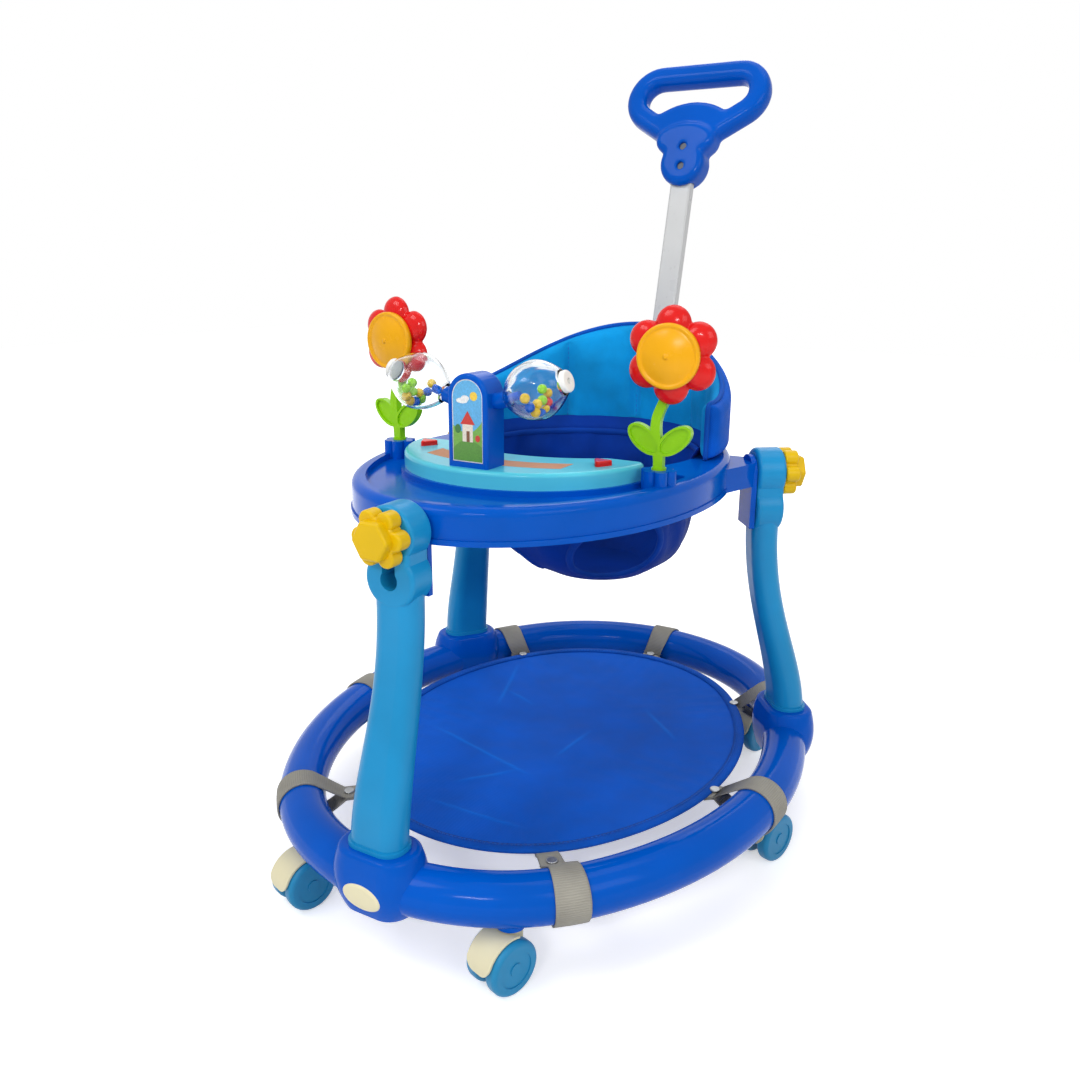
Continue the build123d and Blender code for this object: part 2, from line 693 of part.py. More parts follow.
def lug_hole(index):
    face = LEG_LEAN + LEG_NECK_DEPTH / 2 + LUG_GAP
    length = OVERCUT + INSERT_LENGTH + INSERT_END_GAP
    return at_leg(index) * cross_bar(INSERT_D, (0, face - OVERCUT, HEAD_Z), length)


def lug_insert(index):
    face = LEG_LEAN + LEG_NECK_DEPTH / 2 + LUG_GAP
    bush = cross_bar(INSERT_D, (0, face, HEAD_Z), INSERT_LENGTH)
    bush -= cross_bar(BOLT_D + 2 * RUNNING_CLEARANCE, (0, face - OVERCUT, HEAD_Z), INSERT_LENGTH)
    return at_leg(index) * bush


def at_handle():
    """Frame at the mouth of the handle socket, with +Z up the leaning tube."""
    return Pos(0, HANDLE_Y, TRAY_TOP_Z) * Rot(-HANDLE_LEAN, 0, 0)


def handle_section(grow):
    return RectangleRounded(HANDLE_TUBE_WIDTH + 2 * grow, HANDLE_TUBE_DEPTH + 2 * grow,
                            HANDLE_TUBE_CORNER + grow)


def handle_socket():
    low = -HANDLE_SOCKET_DEPTH - HANDLE_SOCKET_FLOOR
    return at_handle() * prism(handle_section(HANDLE_SOCKET_WALL), low, HANDLE_SOCKET_RISE)


def handle_socket_hole():
    mouth = HANDLE_SOCKET_RISE + OVERCUT
    return at_handle() * prism(handle_section(HANDLE_CLEARANCE), -HANDLE_SOCKET_DEPTH, mouth)


def button_outline(grow):
    """Rounded triangle with its point to the front."""
    tri = Rot(0, 0, -90) * RegularPolygon(BUTTON_SIDE_R + grow, 3)
    return fillet(tri.vertices(), BUTTON_CORNER)


def at_flower(side):
    return Pos(side * FLOWER_X, FLOWER_Y, 0) * Rot(0, 0, side * FLOWER_TURN)


def tray_body():
    shell = prism(tray_outline(0), tray_foot_z, TRAY_TOP_Z)
    shell = fillet(edges_at(shell, TRAY_TOP_Z), TRAY_EDGE)
    shell += prism(tray_outline(-TRAY_LIP), tray_foot_z, tray_foot_z + TRAY_LIP_HEIGHT)
    shell -= prism(tray_outline(TRAY_WALL), tray_foot_z - OVERCUT, deck_foot_z)
    rear_cut = Pos(0, POCKET_REAR_Y + TRAY_HALF_LENGTH) * Rectangle(
        3 * TRAY_HALF_WIDTH, 2 * TRAY_HALF_LENGTH)
    pocket = prism(tray_outline(POCKET_INSET) - rear_cut, pocket_z, TRAY_TOP_Z + OVERCUT)
    shell -= fillet(pocket.edges().filter_by(Axis.Z), PANEL_CORNER)
    shell += panel_block(PANEL_MARGIN, deck_foot_z, panel_foot_z)
    shell += prism(seat_circle(SEAT_HOLE_R + COLLAR_WALL), TRAY_TOP_Z - COLLAR_DROP, TRAY_TOP_Z)
    shell += handle_socket()
    for index in range(len(LEG_NAMES)):
        shell -= head_space(index)
        shell += lug(index)
    for side in (1, -1):
        shell += at_flower(side) * flower_socket()
    shell -= prism(seat_circle(SEAT_HOLE_R), tray_foot_z - OVERCUT, TRAY_TOP_Z + OVERCUT)
    for index in range(len(LEG_NAMES)):
        shell -= lug_hole(index)
    for side in (1, -1):
        plug_foot = FLOWER_SOCKET_TOP_Z - STEM_PLUG_LENGTH
        shell -= at_flower(side) * round_bar(STEM_PLUG_D, plug_foot, FLOWER_SOCKET_TOP_Z + OVERCUT)
        well_foot = panel_foot_z - BUTTON_TRAVEL - BUTTON_FLOOR_GAP
        well = prism(button_outline(BUTTON_CLEARANCE), well_foot, panel_foot_z + OVERCUT)
        shell -= Pos(side * BUTTON_X, BUTTON_Y, 0) * well
    return shell - handle_socket_hole()


def toy_panel():
    panel = panel_block(0, panel_foot_z, panel_top_z)
    panel = fillet(edges_at(panel, panel_top_z), PANEL_EDGE)
    for side in (1, -1):
        panel -= Pos(side * BUTTON_X, BUTTON_Y, 0) * prism(
            button_outline(BUTTON_CLEARANCE), panel_foot_z - OVERCUT, panel_top_z + OVERCUT)
        clear_d = FLOWER_SOCKET_D + FLOWER_SOCKET_LOBE_D + 2 * SOCKET_CLEARANCE
        panel -= at_flower(side) * round_bar(clear_d, panel_foot_z - OVERCUT, panel_top_z + OVERCUT)
    inlay_foot = panel_top_z - INLAY_HEIGHT
    return panel - prism(inlay_outline(SOCKET_CLEARANCE), inlay_foot, panel_top_z + OVERCUT)


def inlay_outline(grow):
    """Bowed band across the panel, under the tower."""
    bow_y = INLAY_Y + INLAY_BOW_R
    outer = Pos(0, bow_y) * Circle(INLAY_BOW_R + INLAY_LENGTH / 2 + grow)
    inner = Pos(0, bow_y) * Circle(INLAY_BOW_R - INLAY_LENGTH / 2 - grow)
    front = Pos(0, INLAY_Y) * Rectangle(2 * (INLAY_HALF_WIDTH + grow), INLAY_BOW_R)
    return (outer - inner) & front


def panel_inlay():
    return prism(inlay_outline(0), panel_top_z - INLAY_HEIGHT, panel_top_z)


def panel_button(side):
    key = prism(button_outline(0), panel_foot_z, panel_top_z + BUTTON_PROUD)
    key = fillet(edges_at(key, panel_top_z + BUTTON_PROUD), BUTTON_EDGE)
    return Pos(side * BUTTON_X, BUTTON_Y, 0) * key


# Toy tower and rattles

tower_foot_z = panel_top_z
tower_top_z = tower_foot_z + TOWER_HEIGHT
rattle_z = tower_top_z - RATTLE_DROP
arm_knee = TOWER_WIDTH / 2 + ARM_KNEE
arm_end = TOWER_WIDTH / 2 + ARM_REACH
rattle_start = arm_end + RATTLE_GAP
rattle_end = rattle_start + RATTLE_LENGTH


def arch(width, low, high):
    """Upright arch in X and Z."""
    r = width / 2
    shoulder = high - r
    return Pos(0, (low + shoulder) / 2) * Rectangle(width, shoulder - low) + Pos(0, shoulder) * Circle(r)


def tower_half(front):
    """One half shell, seated round the rattle pins; the front half has the label recess."""
    sign = -1 if front else 1
    quarter = TOWER_DEPTH / 4
    y = TOWER_Y + sign * quarter
    face_y = TOWER_Y + sign * TOWER_DEPTH / 2
    shell = wide_prism(arch(TOWER_WIDTH, tower_foot_z, tower_top_z), TOWER_DEPTH / 2, y)
    outer_edges = [e for e in shell.edges() if abs(e.center().Y - face_y) < 1e-3
                   and e.center().Z > tower_foot_z + TOWER_EDGE / 2]
    shell = fillet(outer_edges, TOWER_EDGE)
    inside = arch(TOWER_WIDTH - 2 * TOWER_WALL, tower_foot_z + TOWER_WALL, tower_top_z - TOWER_WALL)
    shell -= wide_prism(inside, TOWER_DEPTH / 2, y - sign * TOWER_WALL)
    if front:
        label = arch(TOWER_WIDTH - 2 * LABEL_INSET, tower_foot_z + LABEL_INSET, tower_top_z - LABEL_INSET)
        shell -= wide_prism(label, 2 * LABEL_RECESS, face_y)
    return shell - rattle_pin(1) - rattle_pin(-1)


def rattle_pin(side):
    """Bent shoulder arm with the pin that a rattle turns on, and a flange inside the tower wall."""
    spot = Pos(0, TOWER_Y, rattle_z) * Rot(0, side * 90, 0)
    wall = TOWER_WIDTH / 2 - TOWER_WALL
    arm = spot * round_bar(ARM_D, wall, arm_knee)
    flange = spot * round_bar(ARM_D + TOWER_WALL, wall - TOWER_WALL, wall)
    knee = spot * Pos(0, 0, arm_knee) * Sphere(ARM_D / 2)
    along = at_rattle(side) * Rot(0, 90, 0)
    tilted = along * round_bar(ARM_D, arm_knee, arm_end)
    pin = along * round_bar(PIN_D, arm_knee, rattle_start + PIN_REACH)
    return arm + flange + knee + tilted + pin


def rattle_profile(inset):
    """Half outline of the bulb in X and Z, from its neck to its cap seat."""
    neck_r = RATTLE_NECK_D / 2 - inset / 2
    cap_r = CAP_D / 2 - inset / 2
    full_r = RATTLE_D / 2 - inset
    low = rattle_start + inset
    high = rattle_end - inset
    wide = rattle_start + RATTLE_LENGTH / 2
    waist = (low + wide) / 2
    shoulder = (wide + high) / 2
    upper = [Line((low, 0), (low, neck_r)),
             ThreePointArc((low, neck_r), (waist, full_r * RATTLE_ROUNDNESS[0]), (wide, full_r)),
             ThreePointArc((wide, full_r), (shoulder, full_r * RATTLE_ROUNDNESS[1]), (high, cap_r)),
             Line((high, cap_r), (high, 0)),
             Line((high, 0), (low, 0))]
    return make_face(upper)


def rattle_turned(inset):
    return revolve(Plane.XZ * rattle_profile(inset), Axis.X)


def rattle_shell(side):
    bulb = rattle_turned(0) - rattle_turned(RATTLE_WALL)
    spot = Rot(0, 90, 0)
    pin_end = rattle_start + PIN_REACH + PIN_END_GAP
    boss = spot * round_bar(PIN_D + 2 * RATTLE_BOSS_WALL, rattle_start, pin_end + RATTLE_BOSS_WALL)
    bore = spot * round_bar(PIN_D + 2 * RUNNING_CLEARANCE, rattle_start - OVERCUT, pin_end)
    return at_rattle(side) * (bulb + boss - bore)


def at_rattle(side):
    """Frame of a rattle, with +X out along its axis, tilted up from the arm's knee."""
    level = Pos(0, TOWER_Y, rattle_z) * Rot(0, 0, 0 if side > 0 else 180)
    return level * Pos(arm_knee, 0, 0) * Rot(0, -RATTLE_TILT, 0) * Pos(-arm_knee, 0, 0)


def rattle_cap(side):
    spot = Rot(0, 90, 0)
    cap = spot * round_bar(CAP_D, rattle_end, rattle_end + CAP_THICKNESS)
    cap_end = rattle_end + CAP_THICKNESS
    cap = fillet([e for e in cap.edges() if e.center().X > cap_end - CAP_EDGE / 2], CAP_EDGE)
    hole = spot * round_bar(CAP_HOLE_D, rattle_end + CAP_FLOOR, cap_end + OVERCUT)
    return at_rattle(side) * (cap - hole)


def rattle_beads(side):
    """A row of beads along the bottom of the bulb and a few more on top of them."""
    low_r = (RATTLE_D - BEAD_D) / 2 - RATTLE_WALL - BEAD_GAP
    step = 180 / BEAD_COUNT
    half_pitch = low_r * sin(radians(step / 2))
    up_r = low_r * cos(radians(step / 2)) - sqrt((BEAD_D + BEAD_GAP) ** 2 - half_pitch ** 2)
    spots = [(low_r, 180 + step * (k + 0.5)) for k in range(BEAD_COUNT)]
    spots += [(up_r, 270 + step * (2 * k + 2 - BEAD_UPPER_COUNT + 0.5)) for k in range(BEAD_UPPER_COUNT)]
    x = rattle_start + RATTLE_LENGTH / 2
    beads = []
    for reach, angle in spots:
        y = reach * cos(radians(angle))
        z = reach * sin(radians(angle))
        beads.append(at_rattle(side) * Pos(x, y, z) * Sphere(BEAD_D / 2))
    return Compound(beads)


# Flowers, in a frame under the stem with -Y the way that the flower faces

head_back_y = -STEM_THICKNESS / 2


def flower_stem(side):
    foot = FLOWER_SOCKET_TOP_Z
    rise = FLOWER_HEAD_Z - foot
    points = [(0, foot)] + [(STEM_SWAY * out, foot + rise * up) for out, up in STEM_BENDS]
    stalk = trace(Spline(*points, tangents=[(0, 1), (0, 1)]), STEM_WIDTH)
    body = wide_prism(stalk, STEM_THICKNESS)
    for leaf_side in (1, -1):
        spot = Pos(0, LEAF_Z) * Rot(0, 0, 90 - leaf_side * LEAF_TILT) * Pos(LEAF_LENGTH / 2, 0)
        blade = spot * Ellipse(LEAF_LENGTH / 2, LEAF_WIDTH / 2)
        cup = spot * Ellipse(LEAF_LENGTH / 2 - LEAF_RIM, LEAF_WIDTH / 2 - LEAF_RIM)
        body += wide_prism(blade, STEM_THICKNESS)
        body -= wide_prism(cup, LEAF_CUP, head_back_y)
    body += wide_prism(Pos(0, (foot + LEAF_Z) / 2) * Rectangle(STEM_WIDTH, LEAF_Z - foot), STEM_THICKNESS)
    body += round_bar(STEM_PLUG_D - 2 * RUNNING_CLEARANCE, foot - STEM_PLUG_LENGTH, foot)
    body += round_bar(STEM_COLLAR_D, foot, foot + STEM_COLLAR)
    hub_length = HEAD_HUB_LENGTH + STEM_THICKNESS
    hub = cross_bar(HEAD_HUB_D, (STEM_SWAY, head_back_y - HEAD_HUB_LENGTH, FLOWER_HEAD_Z), hub_length)
    pin_length = HEAD_HUB_LENGTH + PETAL_THICKNESS
    pin = cross_bar(HEAD_PIN_D, (STEM_SWAY, head_back_y - pin_length, FLOWER_HEAD_Z), pin_length)
    return at_flower(side) * (body + hub + pin)


petal_back_y = head_back_y - HEAD_HUB_LENGTH - HEAD_GAP
petal_face_y = petal_back_y - PETAL_THICKNESS


def flower_petals(side):
    shape = Circle(PETAL_CIRCLE_R)
    for k in range(PETAL_COUNT):
        shape += Rot(0, 0, 90 + k * 360 / PETAL_COUNT) * Pos(PETAL_CIRCLE_R, 0) * Circle(PETAL_D / 2)
    disc = extrude(fillet(shape.vertices(), PETAL_NOTCH_R), PETAL_THICKNESS)
    disc = fillet(edges_at(disc, 0) + edges_at(disc, PETAL_THICKNESS), PETAL_EDGE)
    disc -= round_bar(HEAD_PIN_D + 2 * RUNNING_CLEARANCE, -OVERCUT, PETAL_THICKNESS + OVERCUT)
    spot = Pos(STEM_SWAY, petal_back_y, FLOWER_HEAD_Z) * Rot(90, 0, 0)
    return at_flower(side) * spot * disc


def flower_centre(side):
    r = CENTRE_D / 2
    crown = CENTRE_HEIGHT - CENTRE_RIM
    dome_r = (r ** 2 + crown ** 2) / (2 * crown)
    middle = (r / 2, CENTRE_HEIGHT - dome_r + sqrt(dome_r ** 2 - r ** 2 / 4))
    outline = [Line((0, 0), (r, 0)), Line((r, 0), (r, CENTRE_RIM)),
               ThreePointArc((r, CENTRE_RIM), middle, (0, CENTRE_HEIGHT)),
               Line((0, CENTRE_HEIGHT), (0, 0))]
    dome = revolve(Plane.XZ * make_face(outline), Axis.Z)
    spot = Pos(STEM_SWAY, petal_face_y, FLOWER_HEAD_Z) * Rot(90, 0, 0)
    return at_flower(side) * spot * dome


# Seat and back rest

def sling_loft(inset):
    """Hanging bucket, from the collar down to its lowest point."""
    top_r = SEAT_HOLE_R - SLING_GAP - inset
    sections = []
    for drop, share, shift in SLING_LEVELS:
        r = top_r * share
        z = SLING_TOP_Z - (SLING_DROP - inset) * drop
        oval = oval_face(r, r * SLING_OVAL[0], r * SLING_OVAL[1])
        sections.append(Pos(0, SEAT_Y + shift, z) * oval)
    return loft(sections)


def seat_sling():
    bucket = sling_loft(0) - sling_loft(SLING_THICKNESS)
    for side in (1, -1):
        spot = Pos(side * LEG_HOLE_X, LEG_HOLE_Y, LEG_HOLE_Z)
        aim = spot * Rot(0, 0, side * LEG_HOLE_TURN) * Rot(90 + LEG_HOLE_PITCH, 0, 0)
        bucket -= aim * round_bar(LEG_HOLE_D, -LEG_HOLE_BACK, LEG_HOLE_REACH)
    return bucket


def backrest_pad():
    foot = TRAY_TOP_Z + PAD_GAP
    start = (180 - PAD_SWEEP) / 2
    mid = PAD_R - PAD_THICKNESS / 2
    section = Plane.XZ * (Pos(mid, (foot + PAD_TOP_Z) / 2) * Rectangle(PAD_THICKNESS, PAD_TOP_Z - foot))
    wall = revolve(section, Axis.Z, revolution_arc=PAD_SWEEP)
    wall = Pos(0, SEAT_Y, 0) * Rot(0, 0, start) * wall
    side_x = PAD_R + OVERCUT
    top = [ThreePointArc((-side_x, PAD_SIDE_Z), (0, PAD_TOP_Z), (side_x, PAD_SIDE_Z)),
           Line((side_x, PAD_SIDE_Z), (side_x, foot)),
           Line((side_x, foot), (-side_x, foot)),
           Line((-side_x, foot), (-side_x, PAD_SIDE_Z))]
    pad = wall & wide_prism(make_face(top), 6 * PAD_R)
    pad = fillet([e for e in pad.edges() if e.center().Z > foot + PAD_EDGE / 2], PAD_EDGE)
    groove_r = PAD_R - PAD_THICKNESS - PAD_CHANNEL_RISE
    for angle in PAD_CHANNELS:
        x = groove_r * cos(radians(angle))
        y = SEAT_Y + groove_r * sin(radians(angle))
        pad -= Pos(x, y, 0) * round_bar(PAD_CHANNEL_D, foot - OVERCUT, PAD_TOP_Z + OVERCUT)
    return pad


# Clamp knobs

knob_back = LEG_LEAN - LEG_NECK_DEPTH / 2 - KNOB_GAP


def clamp_knob(index):
    star = Circle(KNOB_CORE_D / 2)
    for k in range(KNOB_LOBES):
        star += Rot(0, 0, k * 360 / KNOB_LOBES) * Pos(KNOB_LOBE_R, 0) * Circle(KNOB_LOBE_D / 2)
    skirt = extrude(star, KNOB_SKIRT)
    skirt = fillet(edges_at(skirt, KNOB_SKIRT) + edges_at(skirt, 0), KNOB_EDGE)
    hexagon = fillet(RegularPolygon(KNOB_FACE_R, 6).vertices(), KNOB_FACE_CORNER)
    face = prism(hexagon, KNOB_SKIRT, KNOB_SKIRT + KNOB_FACE)
    face = fillet(edges_at(face, KNOB_SKIRT + KNOB_FACE), KNOB_EDGE)
    knob = skirt + face - round_bar(BOLT_D, -OVERCUT, BOLT_EMBED)
    return at_leg(index) * Pos(0, knob_back, HEAD_Z) * Rot(90, 0, 0) * knob


def clamp_bolt(index):
    tip = LEG_LEAN + LEG_NECK_DEPTH / 2 + LUG_GAP + LUG_THICKNESS
    start = knob_back - BOLT_EMBED
    return at_leg(index) * cross_bar(BOLT_D, (0, start, HEAD_Z), tip - start)


# Push handle, in the frame of its socket

tube_top = HANDLE_TUBE_TOP
hub_mid = tube_top + HUB_LOWER_D / 2 - HUB_FOOT
hub_upper = hub_mid + HUB_PITCH
grip_mid = tube_top + GRIP_RISE


def handle_tube():
    end = tube_top + HUB_PITCH
    tube = prism(handle_section(0), -HANDLE_SOCKET_DEPTH, end)
    tube -= prism(handle_section(-HANDLE_TUBE_WALL), -HANDLE_SOCKET_DEPTH - OVERCUT, end + OVERCUT)
    for screw_z in grip_screw_heights():
        tube -= cross_bar(GRIP_SCREW_D + 2 * HANDLE_CLEARANCE, (0, -HUB_DEPTH, screw_z), 2 * HUB_DEPTH)
    return at_handle() * tube


def grip_screw_heights():
    first = tube_top - HUB_FOOT + GRIP_SCREW_FIRST
    return first, first + GRIP_SCREW_PITCH


def grip_outline(inset):
    """Loop that is wide and round at its upper corners and drawn in towards the hub."""
    end_x = GRIP_WIDTH / 2 - GRIP_END_R
    discs = Pos(end_x, grip_mid) * Circle(GRIP_END_R - inset)
    discs += Pos(-end_x, grip_mid) * Circle(GRIP_END_R - inset)
    discs += Pos(0, grip_mid - GRIP_WAIST_DROP) * Circle(GRIP_END_R - inset)
    return make_hull(discs.edges())


def grip_gap():
    """Hand gap with a lower edge that bows up over the hub."""
    bow_y = grip_mid - GRIP_END_R + GRIP_BAR - GRIP_BOW_R + GRIP_BOW_RISE
    return grip_outline(GRIP_BAR) - Pos(0, bow_y) * Circle(GRIP_BOW_R)


def handle_grip():
    hub = Pos(0, hub_mid) * Circle(HUB_LOWER_D / 2)
    hub += Pos(0, hub_upper) * Ellipse(HUB_UPPER_WIDTH / 2, HUB_UPPER_HEIGHT / 2)
    hub = wide_prism(hub, HUB_DEPTH)
    hub = fillet(face_edges(hub, HUB_DEPTH), HUB_EDGE)
    loop = wide_prism(grip_outline(0), GRIP_THICKNESS)
    gap = wide_prism(grip_gap(), 2 * GRIP_THICKNESS)
    loop -= fillet(gap.edges().filter_by(Axis.Y), GRIP_GAP_CORNER)
    loop = fillet(face_edges(loop, GRIP_THICKNESS), GRIP_EDGE)
    tilt = Pos(0, 0, hub_upper) * Rot(-GRIP_TILT, 0, 0) * Pos(0, 0, -hub_upper)
    grip = hub + tilt * loop
    grip -= prism(handle_section(0), tube_top - 2 * HUB_LOWER_D, tube_top + HUB_PITCH)
    for screw_z in grip_screw_heights():
        recess_d = GRIP_SCREW_HEAD_D + 2 * SOCKET_CLEARANCE
        grip -= cross_bar(recess_d, (0, -HUB_DEPTH, screw_z), HUB_DEPTH / 2 + GRIP_SCREW_RECESS)
        hole_length = GRIP_SCREW_RECESS + GRIP_SCREW_LENGTH + GRIP_SCREW_END_GAP
        grip -= cross_bar(GRIP_SCREW_D, (0, -HUB_DEPTH / 2, screw_z), hole_length)
    return at_handle() * grip


def grip_screw(screw_z):
    seat = -HUB_DEPTH / 2 + GRIP_SCREW_RECESS
    head_start = seat - GRIP_SCREW_HEAD_HEIGHT
    head = cross_bar(GRIP_SCREW_HEAD_D, (0, head_start, screw_z), GRIP_SCREW_HEAD_HEIGHT)
    shank = cross_bar(GRIP_SCREW_D, (0, seat, screw_z), GRIP_SCREW_LENGTH)
    return at_handle() * (head + shank)


# Every node of the walker

nodes = {"base_ring": base_ring()}
for index, name in enumerate(LEG_NAMES):
    nodes[name + "_leg"] = at_leg(index) * leg()
nodes["leg_screws"] = Compound([at_leg(index) * leg_screw() for index in range(len(LEG_NAMES))])
nodes["caster_bushes"] = Compound([at_ring(angle) * caster_bush() for angle in CASTER_ANGLES])
for number, angle in enumerate(CASTER_ANGLES, 1):
    nodes[f"caster_{number}_hood"] = at_caster(angle) * caster_hood()
    nodes[f"caster_{number}_pins"] = at_caster(angle) * caster_pins()
    nodes[f"caster_{number}_wheels"] = at_caster(angle) * caster_wheels()
nodes["floor_mat"] = floor_mat()
nodes["mat_straps"] = Compound([strap(angle) for angle in STRAP_ANGLES])
nodes["strap_studs"] = Compound([strap_snap(angle) for angle in STRAP_ANGLES])
nodes["tray_body"] = tray_body()
nodes["toy_panel"] = toy_panel()
nodes["panel_inlay"] = panel_inlay()
nodes["lug_inserts"] = Compound([lug_insert(index) for index in range(len(LEG_NAMES))])
nodes["tower_front"] = tower_half(True)
nodes["tower_back"] = tower_half(False)
for side, name in ((1, "right"), (-1, "left")):
    nodes[name + "_button"] = panel_button(side)
    nodes[name + "_rattle_shell"] = rattle_shell(side)
    nodes[name + "_rattle_cap"] = rattle_cap(side)
    nodes[name + "_rattle_beads"] = rattle_beads(side)
    nodes[name + "_flower_stem"] = flower_stem(side)
    nodes[name + "_flower_petals"] = flower_petals(side)
    nodes[name + "_flower_centre"] = flower_centre(side)
nodes["rattle_pins"] = Compound([rattle_pin(side) for side in (1, -1)])
nodes["seat_sling"] = seat_sling()
nodes["backrest_pad"] = backrest_pad()
for index, name in enumerate(LEG_NAMES):
    nodes[name + "_knob"] = clamp_knob(index)
    nodes[name + "_bolt"] = clamp_bolt(index)
nodes["handle_tube"] = handle_tube()
nodes["handle_grip"] = handle_grip()
nodes["grip_screws"] = Compound([grip_screw(z) for z in grip_screw_heights()])

os.makedirs("parts", exist_ok=True)
for name, shape in nodes.items():
    export_step(shape, f"parts/{name}.step")
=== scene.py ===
import json
from math import atan2, cos, degrees, exp, hypot, pi, radians, sin, sqrt

import bmesh
import bpy
from mathutils import Matrix, Vector, noise
from mathutils.bvhtree import BVHTree


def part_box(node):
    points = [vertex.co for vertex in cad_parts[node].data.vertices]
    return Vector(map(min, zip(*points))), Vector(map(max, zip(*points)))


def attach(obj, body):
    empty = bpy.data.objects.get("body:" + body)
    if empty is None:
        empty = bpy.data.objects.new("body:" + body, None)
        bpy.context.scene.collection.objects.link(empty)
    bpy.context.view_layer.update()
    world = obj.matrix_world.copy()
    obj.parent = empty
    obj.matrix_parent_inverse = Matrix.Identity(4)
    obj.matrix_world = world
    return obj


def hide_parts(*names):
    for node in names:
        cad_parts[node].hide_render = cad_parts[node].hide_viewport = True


# Looks of a baby walker, in metres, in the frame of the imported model

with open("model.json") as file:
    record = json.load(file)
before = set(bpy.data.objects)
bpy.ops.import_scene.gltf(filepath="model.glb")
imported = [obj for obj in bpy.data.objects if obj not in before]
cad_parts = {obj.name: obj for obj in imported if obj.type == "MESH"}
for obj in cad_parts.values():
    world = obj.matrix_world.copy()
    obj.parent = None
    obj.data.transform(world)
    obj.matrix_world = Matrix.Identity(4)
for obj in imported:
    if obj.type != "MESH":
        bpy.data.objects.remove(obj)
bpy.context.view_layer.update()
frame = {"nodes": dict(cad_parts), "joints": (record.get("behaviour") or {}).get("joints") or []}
nodes = frame["nodes"]
UP = Vector((0, 0, 1))

# Base ring and mat
RING_HALF_LENGTH = 0.322
RING_HALF_WIDTH = 0.256
RING_END_RADIUS = 0.220
RING_Z = 0.082
TUBE_R = 0.024
MAT_END_RADIUS = 0.180
MAT_CELLS = 190
MAT_THICKNESS = 0.002
MAT_SAG = 0.005
BINDING_WIDTH = 0.010
BINDING_THICKNESS = 0.0012

# Creases left in the mat by folding: two ends of each in plan
MAT_CREASES = (
    ((-0.120, 0.081), (-0.060, 0.058)),
    ((-0.140, -0.052), (0.023, -0.091)),
    ((-0.050, -0.191), (0.076, -0.186)),
    ((-0.045, -0.152), (0.002, -0.085)),
    ((-0.102, 0.033), (-0.147, 0.161)),
    ((0.022, -0.044), (0.029, 0.039)),
    ((0.060, 0.120), (0.130, 0.060)),
)
CREASE_WIDTH = 0.0020
CREASE_HEIGHT = 0.0006

# Webbing straps round the ring
STRAP_ANGLES = (90.0, 47.0, 133.0, -7.0, 187.0, -59.0, 239.0)
STRAP_WIDTH = 0.029
STRAP_THICKNESS = 0.002
STRAP_JOIN = 0.040
STRAP_TUCK = 0.014
STRAP_CLEARANCE = 0.0003
STRAP_UNDER = -0.0046

# Seat
SEAT_Y = 0.055
SEAT_TOP_R = 0.1325
SEAT_TOP_Z = 0.411
SEAT_DROP = 0.146

# Levels of the seat: share of the drop, share of the top radius and shift along y
SEAT_LEVELS = (
    (0.0, 1.0, 0.0),
    (0.22, 0.975, 0.0),
    (0.45, 0.92, 0.008),
    (0.78, 0.77, 0.029),
    (1.0, 0.46, 0.048),
)
SEAT_FLOOR = 0.4
SEAT_BELLY = 0.005
SEAT_THICKNESS = 0.0024
SEAT_HEM_R = 0.0030
TRIM_STEP = 0.004
SEAT_FOLDS = 17
SEAT_FOLD_DEPTH = 0.0022
LEG_HOLE_R = 0.050
LEG_HOLE = (0.057, 0.014, 0.324)
LEG_HOLE_PITCH = 8.0
LEG_HOLE_TURN = 45.0
LEG_HOLE_REACH = 0.110
LEG_HOLE_BACK = 0.025

# Back rest
PAD_MID_R = 0.152
PAD_HALF = 0.0105
PAD_EDGE_ROUND = 0.012
PAD_FOOT_Z = 0.4188
PAD_TOP_Z = 0.5435
PAD_SIDE_Z = 0.4610
PAD_START = -4.6
PAD_END = 184.6
PAD_SPAN = PAD_END - PAD_START
PAD_CHANNELS = (55.0, 90.0, 125.0)
PAD_PUFF = 0.007
PAD_FRAMES = 18
PAD_COVER = {"quality": 8, "mass": 0.2, "vertex_group_mass": "sewn", "tension_stiffness": 12,
             "compression_stiffness": 12, "bending_stiffness": 0.3, "use_pressure": True,
             "uniform_pressure_force": 3.5}

# How far a sewn channel draws in the grid's columns at it and beside it
SEAM_DEPTHS = ((0, 0.0045), (-1, 0.0018), (1, 0.0018))
PIPING_R = 0.0026

# Cloth that closes the gap between the back rest and the seat: radius and height of its line
SKIRT_LINE = ((0.1420, 0.4300), (0.1392, 0.4240), (0.1362, 0.4200), (0.1349, 0.4176), (0.1344, 0.4136))
SKIRT_THICKNESS = 0.0010

# Grip of the push handle
GRIP_CELL = 0.0016
GRIP_ROUNDS = 26
WELL_REACH = 0.0062

# Toys
FLOWER_PETALS = 6
PETAL_R = 0.0170
PETAL_CIRCLE_R = 0.0280
PETAL_BEND = 0.004
PETAL_DEPTH = 0.0108
RATTLE_LENGTH = 0.062
RATTLE_R = 0.0275
RATTLE_NECK_R = 0.008
RATTLE_CAP_R = 0.010
RATTLE_WALL = 0.002
RATTLE_FLUTES = 9
TOWER_WIDTH = 0.044
LABEL_INSET = 0.005
LABEL_RECESS = 0.001
LABEL_EDGE = 0.0012
LABEL_LAYER = 0.00006

# Oval plate on the front socket
BADGE_HALF_WIDTH = 0.021
BADGE_HALF_HEIGHT = 0.0135
BADGE_Z = 0.079
BADGE_RISE = 0.0013

